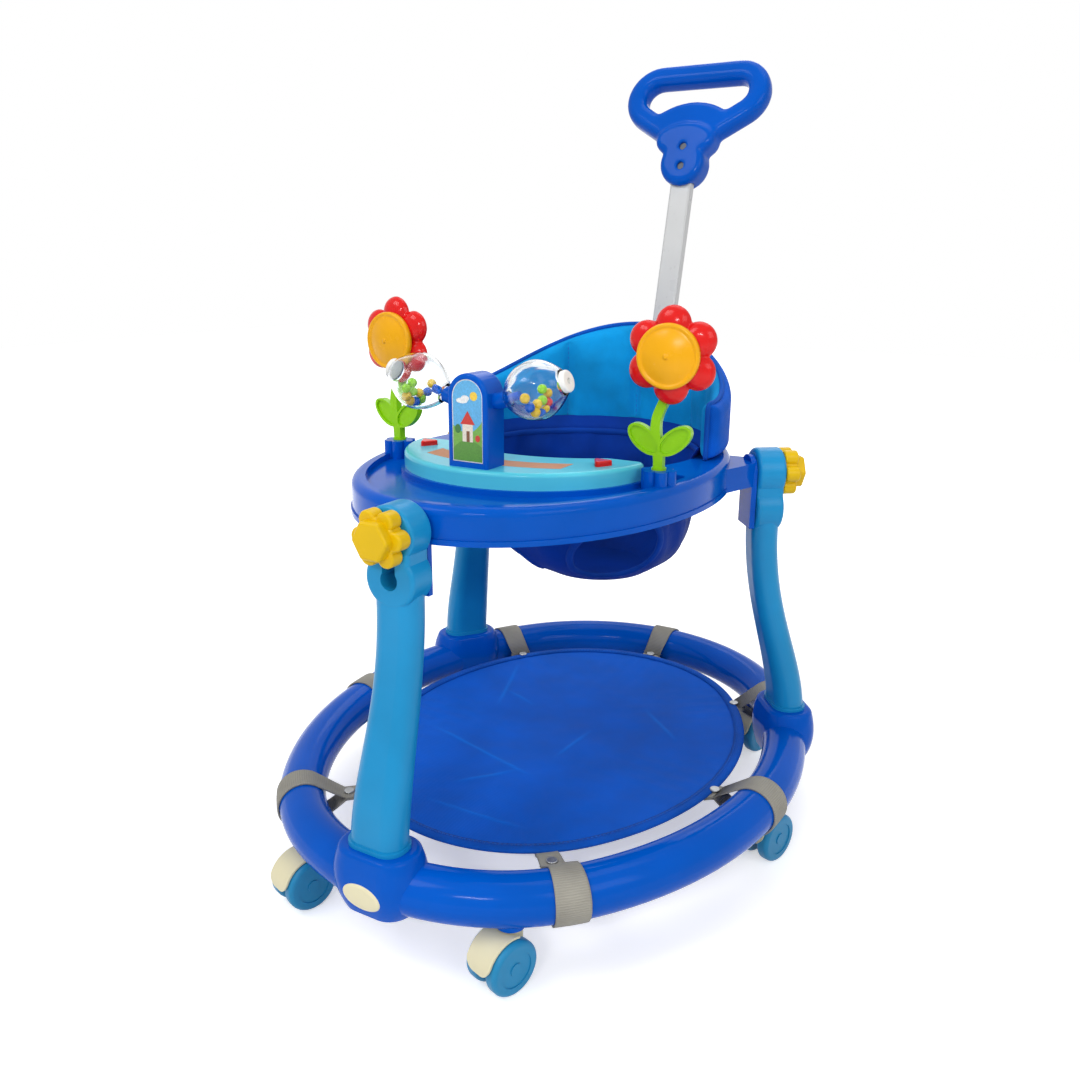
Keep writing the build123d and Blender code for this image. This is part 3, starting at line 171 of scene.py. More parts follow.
# Camera, from the photograph's vanishing lines
CAMERA_PLACE = (0.5057, -0.9140, 0.6226)
CAMERA_RIGHT = (0.8653, 0.5012, 0.0043)
CAMERA_UP = (-0.1431, 0.2389, 0.9604)
CAMERA_LENS = 32.68
SENSOR = 36.0

# Studio: lamps as name, place, target, width, height and power, and the light of the surroundings
LAMPS = (
    ("key", (-0.9, -1.5, 2.2), (0, 0, 0.3), 1.2, 0.9, 20),
    ("fill", (1.9, -0.9, 1.5), (0, 0, 0.35), 1.4, 1.0, 13),
    ("top", (0.1, 0.5, 2.6), (0, 0.05, 0.3), 1.8, 1.2, 12),
    ("rear", (-0.5, 1.9, 1.9), (0, 0, 0.35), 1.4, 1.0, 8),
    ("strip", (0.55, -2.1, 1.4), (0, 0, 0.3), 0.5, 0.06, 12),
)
SURROUNDINGS = 0.40
FLOOR_HALF = 6.0

# Colours, as they look on screen
ROYAL = (0, 86, 192)
TURQUOISE = (22, 141, 197)
TEAL = (10, 148, 216)
WHEEL_TEAL = (34, 132, 180)
NAVY = (4, 54, 148)
MAT_BLUE = (4, 92, 204)
BINDING_BLUE = (14, 84, 184)
SEAT_TAPE = (10, 62, 156)
PANEL_BLUE = (84, 202, 222)
WEB_GREY = (148, 145, 136)
CREAM = (228, 220, 184)
RED = (222, 24, 22)
AMBER = (240, 172, 12)
KNOB_YELLOW = (222, 182, 4)
LIME = (140, 204, 8)
TAN = (190, 128, 86)
HANDLE_GREY = (202, 203, 202)
STEEL = (168, 170, 172)
WHITE = (240, 240, 236)


# Mesh helpers

def ripple(x, y, z):
    """Smooth noise between about -1 and 1."""
    return noise.noise(Vector((x, y, z)))


def turns(count):
    """Angles of evenly spaced points round a circle."""
    return [2 * pi * k / count for k in range(count)]


def add_object(name, data):
    made = bpy.data.objects.new(name, data)
    bpy.context.scene.collection.objects.link(made)
    return made


def add_piece(name, verts, faces, material, body, smooth=True, uvs=None):
    """A mesh object that rides on a body; uvs holds one (u, v) in metres per vertex."""
    mesh = bpy.data.meshes.new(name)
    mesh.from_pydata([tuple(v) for v in verts], [], faces)
    mesh.materials.append(material)
    if uvs is not None:
        layer = mesh.uv_layers.new(name="cloth")
        for loop in mesh.loops:
            layer.data[loop.index].uv = uvs[loop.vertex_index]
    mesh.polygons.foreach_set("use_smooth", [smooth] * len(mesh.polygons))
    mesh.update()
    piece = add_object(name, mesh)
    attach(piece, body)
    return piece


def grid_faces(rows, columns, wrap_rows=False, wrap_columns=False):
    """Quads of a grid whose vertex (i, j) has number i * columns + j."""
    faces = []
    for i in range(rows if wrap_rows else rows - 1):
        for j in range(columns if wrap_columns else columns - 1):
            k, m = (i + 1) % rows, (j + 1) % columns
            faces.append((i * columns + j, k * columns + j, k * columns + m, i * columns + m))
    return faces


def face_outward(piece, weld=0.0):
    """Turns every face outward, after merging points that lie within weld of each other."""
    bm = bmesh.new()
    bm.from_mesh(piece.data)
    if weld:
        bmesh.ops.remove_doubles(bm, verts=bm.verts, dist=weld)
    bmesh.ops.recalc_face_normals(bm, faces=bm.faces)
    bm.to_mesh(piece.data)
    bm.free()


def subdivide(piece, levels=1):
    modifier = piece.modifiers.new("subdivision", "SUBSURF")
    modifier.levels = levels
    modifier.render_levels = levels


def thicken(piece, thickness, offset=0.0):
    modifier = piece.modifiers.new("thickness", "SOLIDIFY")
    modifier.thickness = thickness
    modifier.offset = offset


def heading(points, i, closed):
    """Unit direction of a line at one of its points."""
    after = points[(i + 1) % len(points)] if closed or i < len(points) - 1 else points[i]
    before = points[i - 1] if closed or i > 0 else points[i]
    return (after - before).normalized()


def sweep(name, path, sides, section, material, body, closed):
    """A tube along path; sides holds a sideways unit vector per point, section (out, up) pairs."""
    count = len(path)
    verts, uvs = [], []
    run = 0.0
    for i, point in enumerate(path):
        along = heading(path, i, closed)
        out = (sides[i] - along * sides[i].dot(along)).normalized()
        up = along.cross(out)
        run += (point - path[i - 1]).length if i > 0 else 0.0
        for k, (x, y) in enumerate(section):
            verts.append(point + out * x + up * y)
            uvs.append((run, k * 0.002))
    faces = grid_faces(count, len(section), wrap_rows=closed, wrap_columns=True)
    if not closed:
        faces.append(tuple(range(len(section))))
        faces.append(tuple(reversed(range((count - 1) * len(section), count * len(section)))))
    piece = add_piece(name, verts, faces, material, body, uvs=uvs)
    face_outward(piece)
    return piece


def ring_section(radius, flatten=1.0, count=10):
    return [(radius * cos(turn), radius * flatten * sin(turn)) for turn in turns(count)]


def resample(path, step, closed):
    """Points at an even step along a line."""
    points = list(path) + ([path[0]] if closed else [])
    lengths = [0.0]
    for a, b in zip(points, points[1:]):
        lengths.append(lengths[-1] + (b - a).length)
    count = max(2, round(lengths[-1] / step))
    result, k = [], 0
    for n in range(count if closed else count + 1):
        goal = lengths[-1] * n / count
        while k < len(points) - 2 and lengths[k + 1] < goal:
            k += 1
        span = lengths[k + 1] - lengths[k]
        share = (goal - lengths[k]) / span if span > 0 else 0.0
        result.append(points[k].lerp(points[k + 1], share))
    return result


def smooth_line(points, rounds, closed):
    """Evens out a line; an open one keeps its ends."""
    for step in range(rounds):
        count = len(points)
        evened = [(points[k - 1] + points[k] * 2 + points[(k + 1) % count]) / 4 for k in range(count)]
        points = evened if closed else [points[0]] + evened[1:-1] + [points[-1]]
    return points


def stitches(name, path, normals_at, material, body, closed, pitch=0.0045, length=0.0032, width=0.0009):
    """Short raised threads in a row along path; normals_at gives the surface normal at a point."""
    spots = resample(path, pitch, closed)
    verts, faces = [], []
    for i, spot in enumerate(spots):
        along = heading(spots, i, closed)
        up = normals_at(spot)
        across = up.cross(along).normalized()
        base = len(verts)
        for share, swell in ((-0.5, 0.3), (-0.25, 1.0), (0.25, 1.0), (0.5, 0.3)):
            middle = spot + along * (length * share) + up * (width * 0.35 * swell)
            for turn in turns(6):
                reach = width / 2 * swell
                verts.append(middle + across * (reach * cos(turn)) + up * (reach * sin(turn)))
        for ring in range(3):
            for k in range(6):
                a, b = base + ring * 6 + k, base + ring * 6 + (k + 1) % 6
                faces.append((a, b, b + 6, a + 6))
        faces.append(tuple(base + k for k in reversed(range(6))))
        faces.append(tuple(base + 18 + k for k in range(6)))
    return add_piece(name, verts, faces, material, body)


# Materials

def linear(colour):
    levels = [level / 255 for level in colour]
    return (*(c / 12.92 if c <= 0.04045 else ((c + 0.055) / 1.055) ** 2.4 for c in levels), 1.0)


class Nodes:
    """Short names for building the node tree of a material, or of the world."""

    def __init__(self, name, world=False):
        self.block = (bpy.data.worlds if world else bpy.data.materials).new(name)
        self.block.use_nodes = True
        self.tree = self.block.node_tree
        self.shader = self.tree.nodes["Background" if world else "Principled BSDF"]

    def add(self, kind, **settings):
        node = self.tree.nodes.new(kind)
        for key, value in settings.items():
            setattr(node, key, value)
        return node

    def link(self, output, target):
        self.tree.links.new(output, target)

    def fix(self, socket, value):
        """Sets one of the shader's sockets to a constant."""
        self.shader.inputs[socket].default_value = value

    def drive(self, socket, output):
        """Links an output to one of the shader's sockets."""
        self.link(output, self.shader.inputs[socket])

    def coordinates(self, kind="Object"):
        return self.add("ShaderNodeTexCoord").outputs[kind]

    def noise(self, scale, detail=3.0, source=None):
        node = self.add("ShaderNodeTexNoise")
        node.inputs["Scale"].default_value = scale
        node.inputs["Detail"].default_value = detail
        self.link(source or self.coordinates(), node.inputs["Vector"])
        return node.outputs["Fac"]

    def ramp(self, value, stops, blend="LINEAR"):
        node = self.add("ShaderNodeValToRGB")
        node.color_ramp.interpolation = blend
        elements = node.color_ramp.elements
        while len(elements) < len(stops):
            elements.new(0.5)
        for element, (place, colour) in zip(elements, stops):
            element.position = place
            element.color = colour
        self.link(value, node.inputs["Fac"])
        return node.outputs["Color"]

    def tones(self, value, colour, dark, light, margin=0.3):
        """Runs from a darker to a lighter share of one colour."""
        places = (margin, dark), (1 - margin, light)
        return self.ramp(value, [(place, linear(shade(colour, share))) for place, share in places])

    def between(self, value, low, high, start=0.0, end=1.0, blend="LINEAR"):
        node = self.add("ShaderNodeMapRange", interpolation_type=blend)
        for socket, level in (("From Min", start), ("From Max", end), ("To Min", low), ("To Max", high)):
            node.inputs[socket].default_value = level
        self.link(value, node.inputs["Value"])
        return node.outputs["Result"]

    def maths(self, operation, *values):
        node = self.add("ShaderNodeMath", operation=operation)
        for socket, value in zip(node.inputs, values):
            if isinstance(value, (int, float)):
                socket.default_value = value
            else:
                self.link(value, socket)
        return node.outputs["Value"]

    def bump(self, heights):
        """Bumps in a chain; heights holds (value, strength, distance)."""
        normal = None
        for value, strength, distance in heights:
            node = self.add("ShaderNodeBump")
            node.inputs["Strength"].default_value = strength
            node.inputs["Distance"].default_value = distance
            self.link(value, node.inputs["Height"])
            if normal is not None:
                self.link(normal, node.inputs["Normal"])
            normal = node.outputs["Normal"]
        self.drive("Normal", normal)


def shade(colour, share):
    """A screen colour made lighter or darker by a share."""
    return tuple(min(255.0, max(0.0, level * share)) for level in colour)


def plastic(name, colour, rough=0.22, waves=0.0, grain=0.04, specular=0.22):
    """Moulded plastic: faint cloudiness in the colour, handling marks in the gloss, fine grain."""
    n = Nodes(name)
    n.drive("Base Color", n.tones(n.noise(9.0, 4.0), colour, 0.95, 1.04))
    n.drive("Roughness", n.between(n.noise(55.0, 6.0), rough - 0.05, rough + 0.09))
    n.fix("Specular IOR Level", specular)
    heights = [(n.noise(700.0, 2.0), grain, 0.0004)]
    if waves:
        heights.append((n.noise(14.0, 1.0), waves, 0.004))
    n.bump(heights)
    return n.block


def metal(name, colour, rough=0.3):
    n = Nodes(name)
    streaks = n.noise(160.0, 5.0)
    n.drive("Base Color", n.tones(streaks, colour, 0.9, 1.0))
    n.drive("Roughness", n.between(streaks, rough - 0.08, rough + 0.12))
    n.fix("Metallic", 1.0)
    n.bump([(n.noise(900.0, 2.0), 0.05, 0.0003)])
    return n.block


def painted(name, colour):
    """Powder-coated tube: orange-peel gloss."""
    n = Nodes(name)
    n.drive("Base Color", n.tones(n.noise(20.0, 3.0), colour, 0.97, 1.0))
    n.drive("Roughness", n.between(n.noise(80.0, 4.0), 0.22, 0.36))
    n.bump([(n.noise(420.0, 2.0), 0.06, 0.0004)])
    return n.block


def cloth(name, colour, pitch, ribs=False, sheen=0.03, rough=0.72, strength=0.35, mottle=0.13, crease_highlight=False):
    """Woven cloth from uv in metres: crossing threads, or ribs across a webbing; with crease set, a painted
    highlight lightens the colour along the mat's fold lines.
    """
    n = Nodes(name)
    split = n.add("ShaderNodeSeparateXYZ")
    n.link(n.coordinates("UV"), split.inputs["Vector"])
    turn = 2 * pi / pitch
    warp = n.maths("SINE", n.maths("MULTIPLY", split.outputs["X"], turn))
    weft = n.maths("SINE", n.maths("MULTIPLY", split.outputs["Y"], turn))
    weave = n.maths("ABSOLUTE", warp) if ribs else n.maths("MULTIPLY", warp, weft)
    cloud = n.noise(16.0, 5.0)
    tone = n.maths("ADD", n.maths("MULTIPLY", weave, 0.12), cloud)
    colour_out = n.tones(tone, colour, 1 - mottle, 1 + mottle, 0.25)
    # Painted highlight: a lighter colour along the mat's fold lines stands in for the light their raised
    # ridges catch.
    if crease_highlight:
        line = n.add("ShaderNodeAttribute", attribute_name="crease_highlight").outputs["Fac"]
        mix = n.add("ShaderNodeMix", data_type="RGBA")
        n.link(n.maths("MULTIPLY", line, 0.36), mix.inputs["Factor"])
        n.link(colour_out, mix.inputs["A"])
        mix.inputs["B"].default_value = linear(shade(colour, 1.55))
        colour_out = mix.outputs["Result"]
    n.drive("Base Color", colour_out)
    n.drive("Roughness", n.between(cloud, rough - 0.08, rough + 0.10))
    n.fix("Sheen Weight", sheen)
    n.fix("Sheen Roughness", 0.4)
    n.fix("Specular IOR Level", 0.08)
    n.bump([(weave, strength, 0.0004), (n.noise(38.0, 4.0), 0.12, 0.003)])
    return n.block


def clear_plastic(name):
    """Clear bulb with moulding haze."""
    n = Nodes(name)
    n.fix("Base Color", (0.93, 0.96, 0.98, 1.0))
    n.drive("Roughness", n.between(n.noise(60.0, 3.0), 0.03, 0.12))
    n.fix("Transmission Weight", 1.0)
    n.fix("IOR", 1.3)
    n.bump([(n.noise(240.0, 2.0), 0.02, 0.0004)])
    return n.block


def mixed_beads(name):
    """Each bead takes one of a few toy colours."""
    n = Nodes(name)
    pick = n.add("ShaderNodeNewGeometry").outputs["Random Per Island"]
    stops = [(0.0, linear(RED)), (0.36, linear(KNOB_YELLOW)), (0.66, linear(ROYAL)), (0.84, linear(LIME))]
    n.drive("Base Color", n.ramp(pick, stops, "CONSTANT"))
    n.drive("Roughness", n.between(n.noise(300.0, 3.0), 0.12, 0.24))
    n.bump([(n.noise(800.0, 2.0), 0.03, 0.0003)])
    return n.block


def printed(name, colour):
    """Ink on a glossy sticker, with a faint print grain."""
    n = Nodes(name)
    grain = n.noise(900.0, 2.0)
    n.drive("Base Color", n.tones(grain, colour, 0.94, 1.04, 0.35))
    n.drive("Roughness", n.between(n.noise(40.0, 3.0), 0.26, 0.40))
    n.bump([(grain, 0.02, 0.0002)])
    return n.block


royal = plastic("royal_plastic", ROYAL, 0.11, waves=0.05, specular=0.07)
turquoise = plastic("turquoise_plastic", TURQUOISE, 0.30, waves=0.03)
wheel_teal = plastic("wheel_plastic", WHEEL_TEAL, 0.36)
panel_blue = plastic("panel_plastic", PANEL_BLUE, 0.20)
cream = plastic("hood_plastic", CREAM, 0.30)
red = plastic("red_plastic", RED, 0.14)
amber = plastic("amber_plastic", AMBER, 0.24)
knob_yellow = plastic("knob_plastic", KNOB_YELLOW, 0.30)
lime = plastic("lime_plastic", LIME, 0.26)
tan = plastic("tan_inlay", TAN, 0.45, grain=0.10)
dark_bush = plastic("bush_plastic", (58, 60, 64), 0.45)
white_cap = plastic("cap_plastic", WHITE, 0.24)
steel = metal("plain_steel", STEEL, 0.32)
dark_steel = metal("dark_steel", (70, 72, 78), 0.38)
handle_paint = painted("handle_paint", HANDLE_GREY)
clear = clear_plastic("clear_plastic")
beads = mixed_beads("bead_plastic")
mat_cloth = cloth("mat_nylon", MAT_BLUE, 0.0018, rough=0.62, mottle=0.07, crease_highlight=True)
binding_cloth = cloth("binding_tape", BINDING_BLUE, 0.0016, rough=0.66)
seat_tape = cloth("seat_tape", SEAT_TAPE, 0.0016, rough=0.66)
webbing = cloth("strap_webbing", WEB_GREY, 0.0044, ribs=True, sheen=0.10, rough=0.8, strength=0.6)
seat_cloth = cloth("seat_nylon", NAVY, 0.0018, rough=0.62)
pad_cloth = cloth("pad_cover", TEAL, 0.0018, rough=0.66)
pad_back_cloth = cloth("pad_back_cover", MAT_BLUE, 0.0018, rough=0.66)
thread = cloth("sewing_thread", (40, 104, 200), 0.0010, rough=0.7)
web_thread = cloth("strap_thread", (120, 116, 110), 0.0010, rough=0.7)

NODE_MATERIALS = [
    (royal, "base_ring tray_body handle_grip rattle_pins tower_front tower_back"),
    (turquoise, "front_leg right_leg left_leg"),
    (steel, "leg_screws strap_studs lug_inserts front_bolt right_bolt left_bolt"),
    (knob_yellow, "front_knob right_knob left_knob"),
    (red, "right_button left_button"),
    (white_cap, "right_rattle_cap left_rattle_cap"),
    (beads, "right_rattle_beads left_rattle_beads"),
    (lime, "right_flower_stem left_flower_stem"),
    (panel_blue, "toy_panel"), (tan, "panel_inlay"), (dark_bush, "caster_bushes"),
    (dark_steel, "grip_screws"), (handle_paint, "handle_tube"),
]
for number in range(1, 7):
    for material, piece in ((cream, "hood"), (steel, "pins"), (wheel_teal, "wheels")):
        NODE_MATERIALS.append((material, f"caster_{number}_{piece}"))

for material, names in NODE_MATERIALS:
    for name in names.split():
        nodes[name].data.materials.clear()
        nodes[name].data.materials.append(material)


# Ovals of four tangent arcs, long along y

def oval_spot(angle, half_length, half_width, end_radius):
    """Point in plan at an angle in degrees, its outward normal's angle and its arc's radius."""
    reach = half_length - end_radius
    side_r = (reach ** 2 + half_width ** 2 - end_radius ** 2) / (2 * (half_width - end_radius))
    span = side_r - end_radius
    corner_x = half_width - side_r + side_r * (side_r - half_width) / span
    corner_y = side_r * reach / span
    ux, uy = cos(radians(angle)), sin(radians(angle))
    if abs(uy) * corner_x <= abs(ux) * corner_y:
        radius, cx, cy = side_r, (half_width - side_r) * (1 if ux > 0 else -1), 0.0
    else:
        radius, cx, cy = end_radius, 0.0, reach * (1 if uy > 0 else -1)
    dot = ux * cx + uy * cy
    out = dot + sqrt(dot ** 2 - cx ** 2 - cy ** 2 + radius ** 2)
    x, y = out * ux, out * uy
    return x, y, atan2(y - cy, x - cx), radius


def ring_spot(angle):
    return oval_spot(angle, RING_HALF_LENGTH, RING_HALF_WIDTH, RING_END_RADIUS)


mat_low, mat_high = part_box("floor_mat")
MAT_HALF_LENGTH = (mat_high.y - mat_low.y) / 2
MAT_HALF_WIDTH = (mat_high.x - mat_low.x) / 2
MAT_Y = (mat_high.y + mat_low.y) / 2


def mat_spot(angle):
    return oval_spot(angle, MAT_HALF_LENGTH, MAT_HALF_WIDTH, MAT_END_RADIUS)


# Floor mat

def crease_at(x, y):
    """Height share of the fold lines at a point of the mat."""
    total = 0.0
    here = Vector((x, y))
    for start, end in MAT_CREASES:
        a, b = Vector(start), Vector(end)
        along = (b - a).normalized()
        reach = (here - a).dot(along)
        length = (b - a).length
        off = abs((here - a).dot(Vector((-along.y, along.x))))
        fade = max(0.0, min(1.0, reach / 0.03, (length - reach) / 0.03))
        total += fade * exp(-(off / CREASE_WIDTH) ** 2)
    return min(1.0, total)


def pull_folds(x, y):
    """Small folds that run in from each strap."""
    total = 0.0
    for angle in STRAP_ANGLES:
        rx, ry, normal, radius = ring_spot(angle)
        dx, dy = x - rx, y - ry
        inward = -(dx * cos(normal) + dy * sin(normal)) - 0.05
        across = -dx * sin(normal) + dy * cos(normal)
        if -0.03 < inward < 0.16 and abs(across) < 0.12:
            swell = exp(-(max(0.0, inward) / 0.06)) * exp(-(across / 0.05) ** 2)
            total += swell * cos(2 * pi * across / 0.022)
    return total


def mat_height(x, y, share):
    slack = -MAT_SAG * (1 - share ** 2)
    waves = 0.0016 * ripple(x * 11, y * 11, 0.3) + 0.0007 * ripple(x * 34, y * 34, 4.1)
    edge = 1 - share ** 6
    return slack + edge * (waves + CREASE_HEIGHT * crease_at(x, y)) + 0.0010 * edge * pull_folds(x, y)


def make_mat():
    n = MAT_CELLS
    verts, uvs, crease_highlight_shares = [], [], []
    for i in range(n + 1):
        u = -1 + 2 * i / n
        for j in range(n + 1):
            v = -1 + 2 * j / n
            dx, dy = u * sqrt(1 - v * v / 2), v * sqrt(1 - u * u / 2)
            share = min(1.0, hypot(dx, dy))
            ex, ey, normal, radius = mat_spot(degrees(atan2(dy, dx)))
            x, y = ex * share, ey * share + MAT_Y
            verts.append((x, y, RING_Z + mat_height(x, y, share)))
            uvs.append((x, y))
            crease_highlight_shares.append(crease_at(x, y) * (1 - share ** 6))
    mat = add_piece("floor_mat_cloth", verts, grid_faces(n + 1, n + 1), mat_cloth, "base", uvs=uvs)
    # Mask of the fold lines for the painted highlight in the mat's material.
    attribute = mat.data.attributes.new("crease_highlight", "FLOAT", "POINT")
    attribute.data.foreach_set("value", crease_highlight_shares)
    face_outward(mat)
    thicken(mat, MAT_THICKNESS)
    return mat


def mat_edge(inset, height):
    """Line along the mat's edge, one point per degree."""
    return [Vector((x - inset * cos(normal), y + MAT_Y - inset * sin(normal), RING_Z + height))
            for x, y, normal, radius in map(mat_spot, range(360))]


def make_binding():
    """Tape folded over the mat's edge, with a row of stitches on its top face."""
    half = MAT_THICKNESS / 2 + 0.0002
    t, w = BINDING_THICKNESS, BINDING_WIDTH
    outer = [(-w, half + t * 0.7), (-w * 0.5, half + t), (0.0, half + t), (0.0016, half * 0.7),
             (0.0016, -half * 0.7), (0.0, -half - t), (-w * 0.5, -half - t), (-w, -half - t * 0.7)]
    inner = [(-w, -half), (-w * 0.5, -half), (0.0004, -half), (0.0004, half), (-w * 0.5, half), (-w, half)]
    section = [(x, -y) for x, y in outer + inner]
    outs = [Vector((cos(normal), sin(normal), 0)) for x, y, normal, radius in map(mat_spot, range(360))]
    tape = sweep("mat_binding", mat_edge(0, 0), outs, section, binding_cloth, "base", True)
    row = stitches("mat_stitching", mat_edge(w * 0.72, half + t), lambda p: UP, thread, "base", True)
    return [tape, row]


mat = make_mat()
mat_trim = make_binding()
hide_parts("floor_mat")


# Straps

def mat_reach(angle):
    """Distance from the ring's centre line, straight inward, to the mat's edge."""
    x, y, normal, radius = ring_spot(angle)
    low, high = 0.02, 0.15
    for step in range(30):
        middle = (low + high) / 2
        px, py = x - middle * cos(normal), y - middle * sin(normal) - MAT_Y
        ex, ey, mat_normal, mat_radius = mat_spot(degrees(atan2(py, px)))
        if hypot(px, py) > hypot(ex, ey):
            low = middle
        else:
            high = middle
    return low


def strap_place(angle):
    """Place of a strap on the ring's centre line, its outward direction and the ring's radius there."""
    x, y, normal, radius = ring_spot(angle)
    return Vector((x, y, 0)), Vector((cos(normal), sin(normal), 0)), radius


def strap_path(edge):
    """Line of the webbing, as inward reach and height, from under the mat round the tube and back."""
    ply = STRAP_THICKNESS / 2
    wrap = TUBE_R + STRAP_CLEARANCE + ply
    lean = atan2(wrap, STRAP_JOIN)
    touch = pi / 2 - lean * 0.94
    points = [(edge + STRAP_TUCK * share, STRAP_UNDER + ply) for share in (1.0, 0.6, 0.2)]
    rise = [(edge - 0.004, ply - 0.0012), (edge - 0.010, ply), (STRAP_JOIN + 0.003, ply)]
    points += rise
    turn_steps = 40
    for k in range(turn_steps + 1):
        angle = touch + (2 * pi - 2 * touch) * k / turn_steps
        points.append((wrap * cos(angle), wrap * sin(angle)))
    points += [(x, -ply if y >= ply else y - 2 * ply) for x, y in reversed(rise)]
    return points + [(edge + STRAP_TUCK * share, STRAP_UNDER - ply) for share in (0.2, 0.6, 1.0)]


def make_straps():
    cells = 14
    verts, faces, uvs = [], [], []
    for angle in STRAP_ANGLES:
        place, outward, radius = strap_place(angle)
        centre = place - outward * radius
        path = strap_path(mat_reach(angle))
        base = len(verts)
        run = 0.0
        for i, (reach, height) in enumerate(path):
            if i:
                run += hypot(reach - path[i - 1][0], height - path[i - 1][1])
            for j in range(cells + 1):
                across = STRAP_WIDTH * (j / cells - 0.5)
                turn = across / radius
                arm = Matrix.Rotation(turn, 3, "Z") @ (outward * (radius - reach))
                wave = 0.00025 * ripple(run * 60, across * 60, angle)
                verts.append(centre + arm + Vector((0, 0, RING_Z + height + wave)))
                uvs.append((run, across))
        faces += [tuple(base + k for k in face) for face in grid_faces(len(path), cells + 1)]
    straps = add_piece("strap_webbing_bands", verts, faces, webbing, "base", uvs=uvs)
    thicken(straps, STRAP_THICKNESS * 0.92)
    return straps


def make_strap_stitches():
    for number, angle in enumerate(STRAP_ANGLES, 1):
        place, outward, radius = strap_place(angle)
        place.z = RING_Z + STRAP_THICKNESS + 0.0001
        middle = place - outward * (STRAP_JOIN + 0.0015)
        reach = Vector((-outward.y, outward.x, 0)) * (STRAP_WIDTH * 0.42)
        ends = [middle - reach, middle + reach]
        stitches(f"strap_stitching_{number}", ends, lambda p: UP, web_thread, "base", False)


straps = make_straps()
make_strap_stitches()
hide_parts("mat_straps")


# Seat

def seat_level(t):
    """Radius share and shift along y at a share of the drop, smooth through the levels."""
    last = len(SEAT_LEVELS) - 1
    k = min(last - 1, sum(1 for level in SEAT_LEVELS[1:] if t > level[0]))
    before, start, end, after = (SEAT_LEVELS[min(last, max(0, i))] for i in range(k - 1, k + 3))
    span = end[0] - start[0]
    f = (t - start[0]) / span
    values = []
    for n in (1, 2):
        leave = (end[n] - before[n]) / (end[0] - before[0]) * span
        arrive = (after[n] - start[n]) / (after[0] - start[0]) * span
        rise = f * f * (3 - 2 * f)
        values.append(start[n] * (1 - rise) + end[n] * rise + f * (1 - f) * ((1 - f) * leave - f * arrive))
    return values


def seat_fold(angle, t):
    """Depth of the vertical folds, strongest under the rim."""
    wander = 0.5 * ripple(cos(angle) * 2, sin(angle) * 2, t * 2)
    wave = cos(SEAT_FOLDS * angle + 3 * wander)
    strength = SEAT_FOLD_DEPTH * (0.35 + 0.65 * sin(pi * min(1.0, t * 1.15 + 0.12)))
    small = 0.0012 * ripple(cos(angle) * 7, sin(angle) * 7, t * 6)
    return strength * (sqrt(abs(wave)) * (1 if wave > 0 else -1)) * 0.8 + small


def about_seat(r, angle, z, shift=0.0):
    """Point at a radius and a plan angle about the seat's upright axis."""
    return Vector((r * cos(angle), SEAT_Y + shift + r * sin(angle), z))


def seat_point(angle, t):
    if t <= 1:
        share, shift = seat_level(t)
        r = SEAT_TOP_R * share + seat_fold(angle, t)
        return about_seat(r, angle, SEAT_TOP_Z - SEAT_DROP * t, shift)
    share, shift = seat_level(1.0)
    inward = max(0.0, 1 - (t - 1) / SEAT_FLOOR)
    r = SEAT_TOP_R * share * inward
    sag = SEAT_BELLY * (1 - inward ** 2)
    return about_seat(r, angle, SEAT_TOP_Z - SEAT_DROP - sag, shift)


def hole_distance(point, side):
    """How far a point lies outside a leg opening's edge; negative inside."""
    turn = Matrix.Rotation(radians(side * LEG_HOLE_TURN), 3, "Z")
    axis = turn @ Vector((0, -cos(radians(LEG_HOLE_PITCH)), -sin(radians(LEG_HOLE_PITCH))))
    from_middle = point - Vector((side * LEG_HOLE[0], LEG_HOLE[1], LEG_HOLE[2]))
    along = from_middle.dot(axis)
    off_axis = (from_middle - axis * along).length
    return max(off_axis - LEG_HOLE_R, along - LEG_HOLE_REACH, -along - LEG_HOLE_BACK)


def cut_open(bm, distance):
    """Splits faces along the line where distance is zero and removes the inside."""
    value = {v: distance(v.co) for v in bm.verts}
    for edge in list(bm.edges):
        a, b = edge.verts
        fa, fb = value[a], value[b]
        if fa * fb < 0:
            new_edge, new_vert = bmesh.utils.edge_split(edge, a, fa / (fa - fb))
            value[new_vert] = 0.0
    for face in list(bm.faces):
        rim = [v for v in face.verts if value[v] == 0.0]
        if len(rim) == 2 and not any(e.other_vert(rim[0]) == rim[1] for e in rim[0].link_edges):
            bmesh.utils.face_split(face, rim[0], rim[1])
    inside = [f for f in bm.faces if sum(value[v] for v in f.verts) < 0]
    bmesh.ops.delete(bm, geom=inside, context="FACES")


def boundary_loops(bm):
    """Rim lines of a mesh as lists of points, from the highest down and from left to right."""
    left = dict.fromkeys(e for e in bm.edges if e.is_boundary)
    loops = []
    while left:
        edge = next(iter(left))
        del left[edge]
        start, here = edge.verts
        points = [start.co.copy(), here.co.copy()]
        while here != start:
            following = [e for e in here.link_edges if e in left]
            if not following:
                break
            del left[following[0]]
            here = following[0].other_vert(here)
            points.append(here.co.copy())
        if (points[0] - points[-1]).length < 1e-7:
            points.pop()
        loops.append(points)
    return sorted(loops, key=lambda loop: (-round(max(p.z for p in loop), 2), sum(p.x for p in loop)))


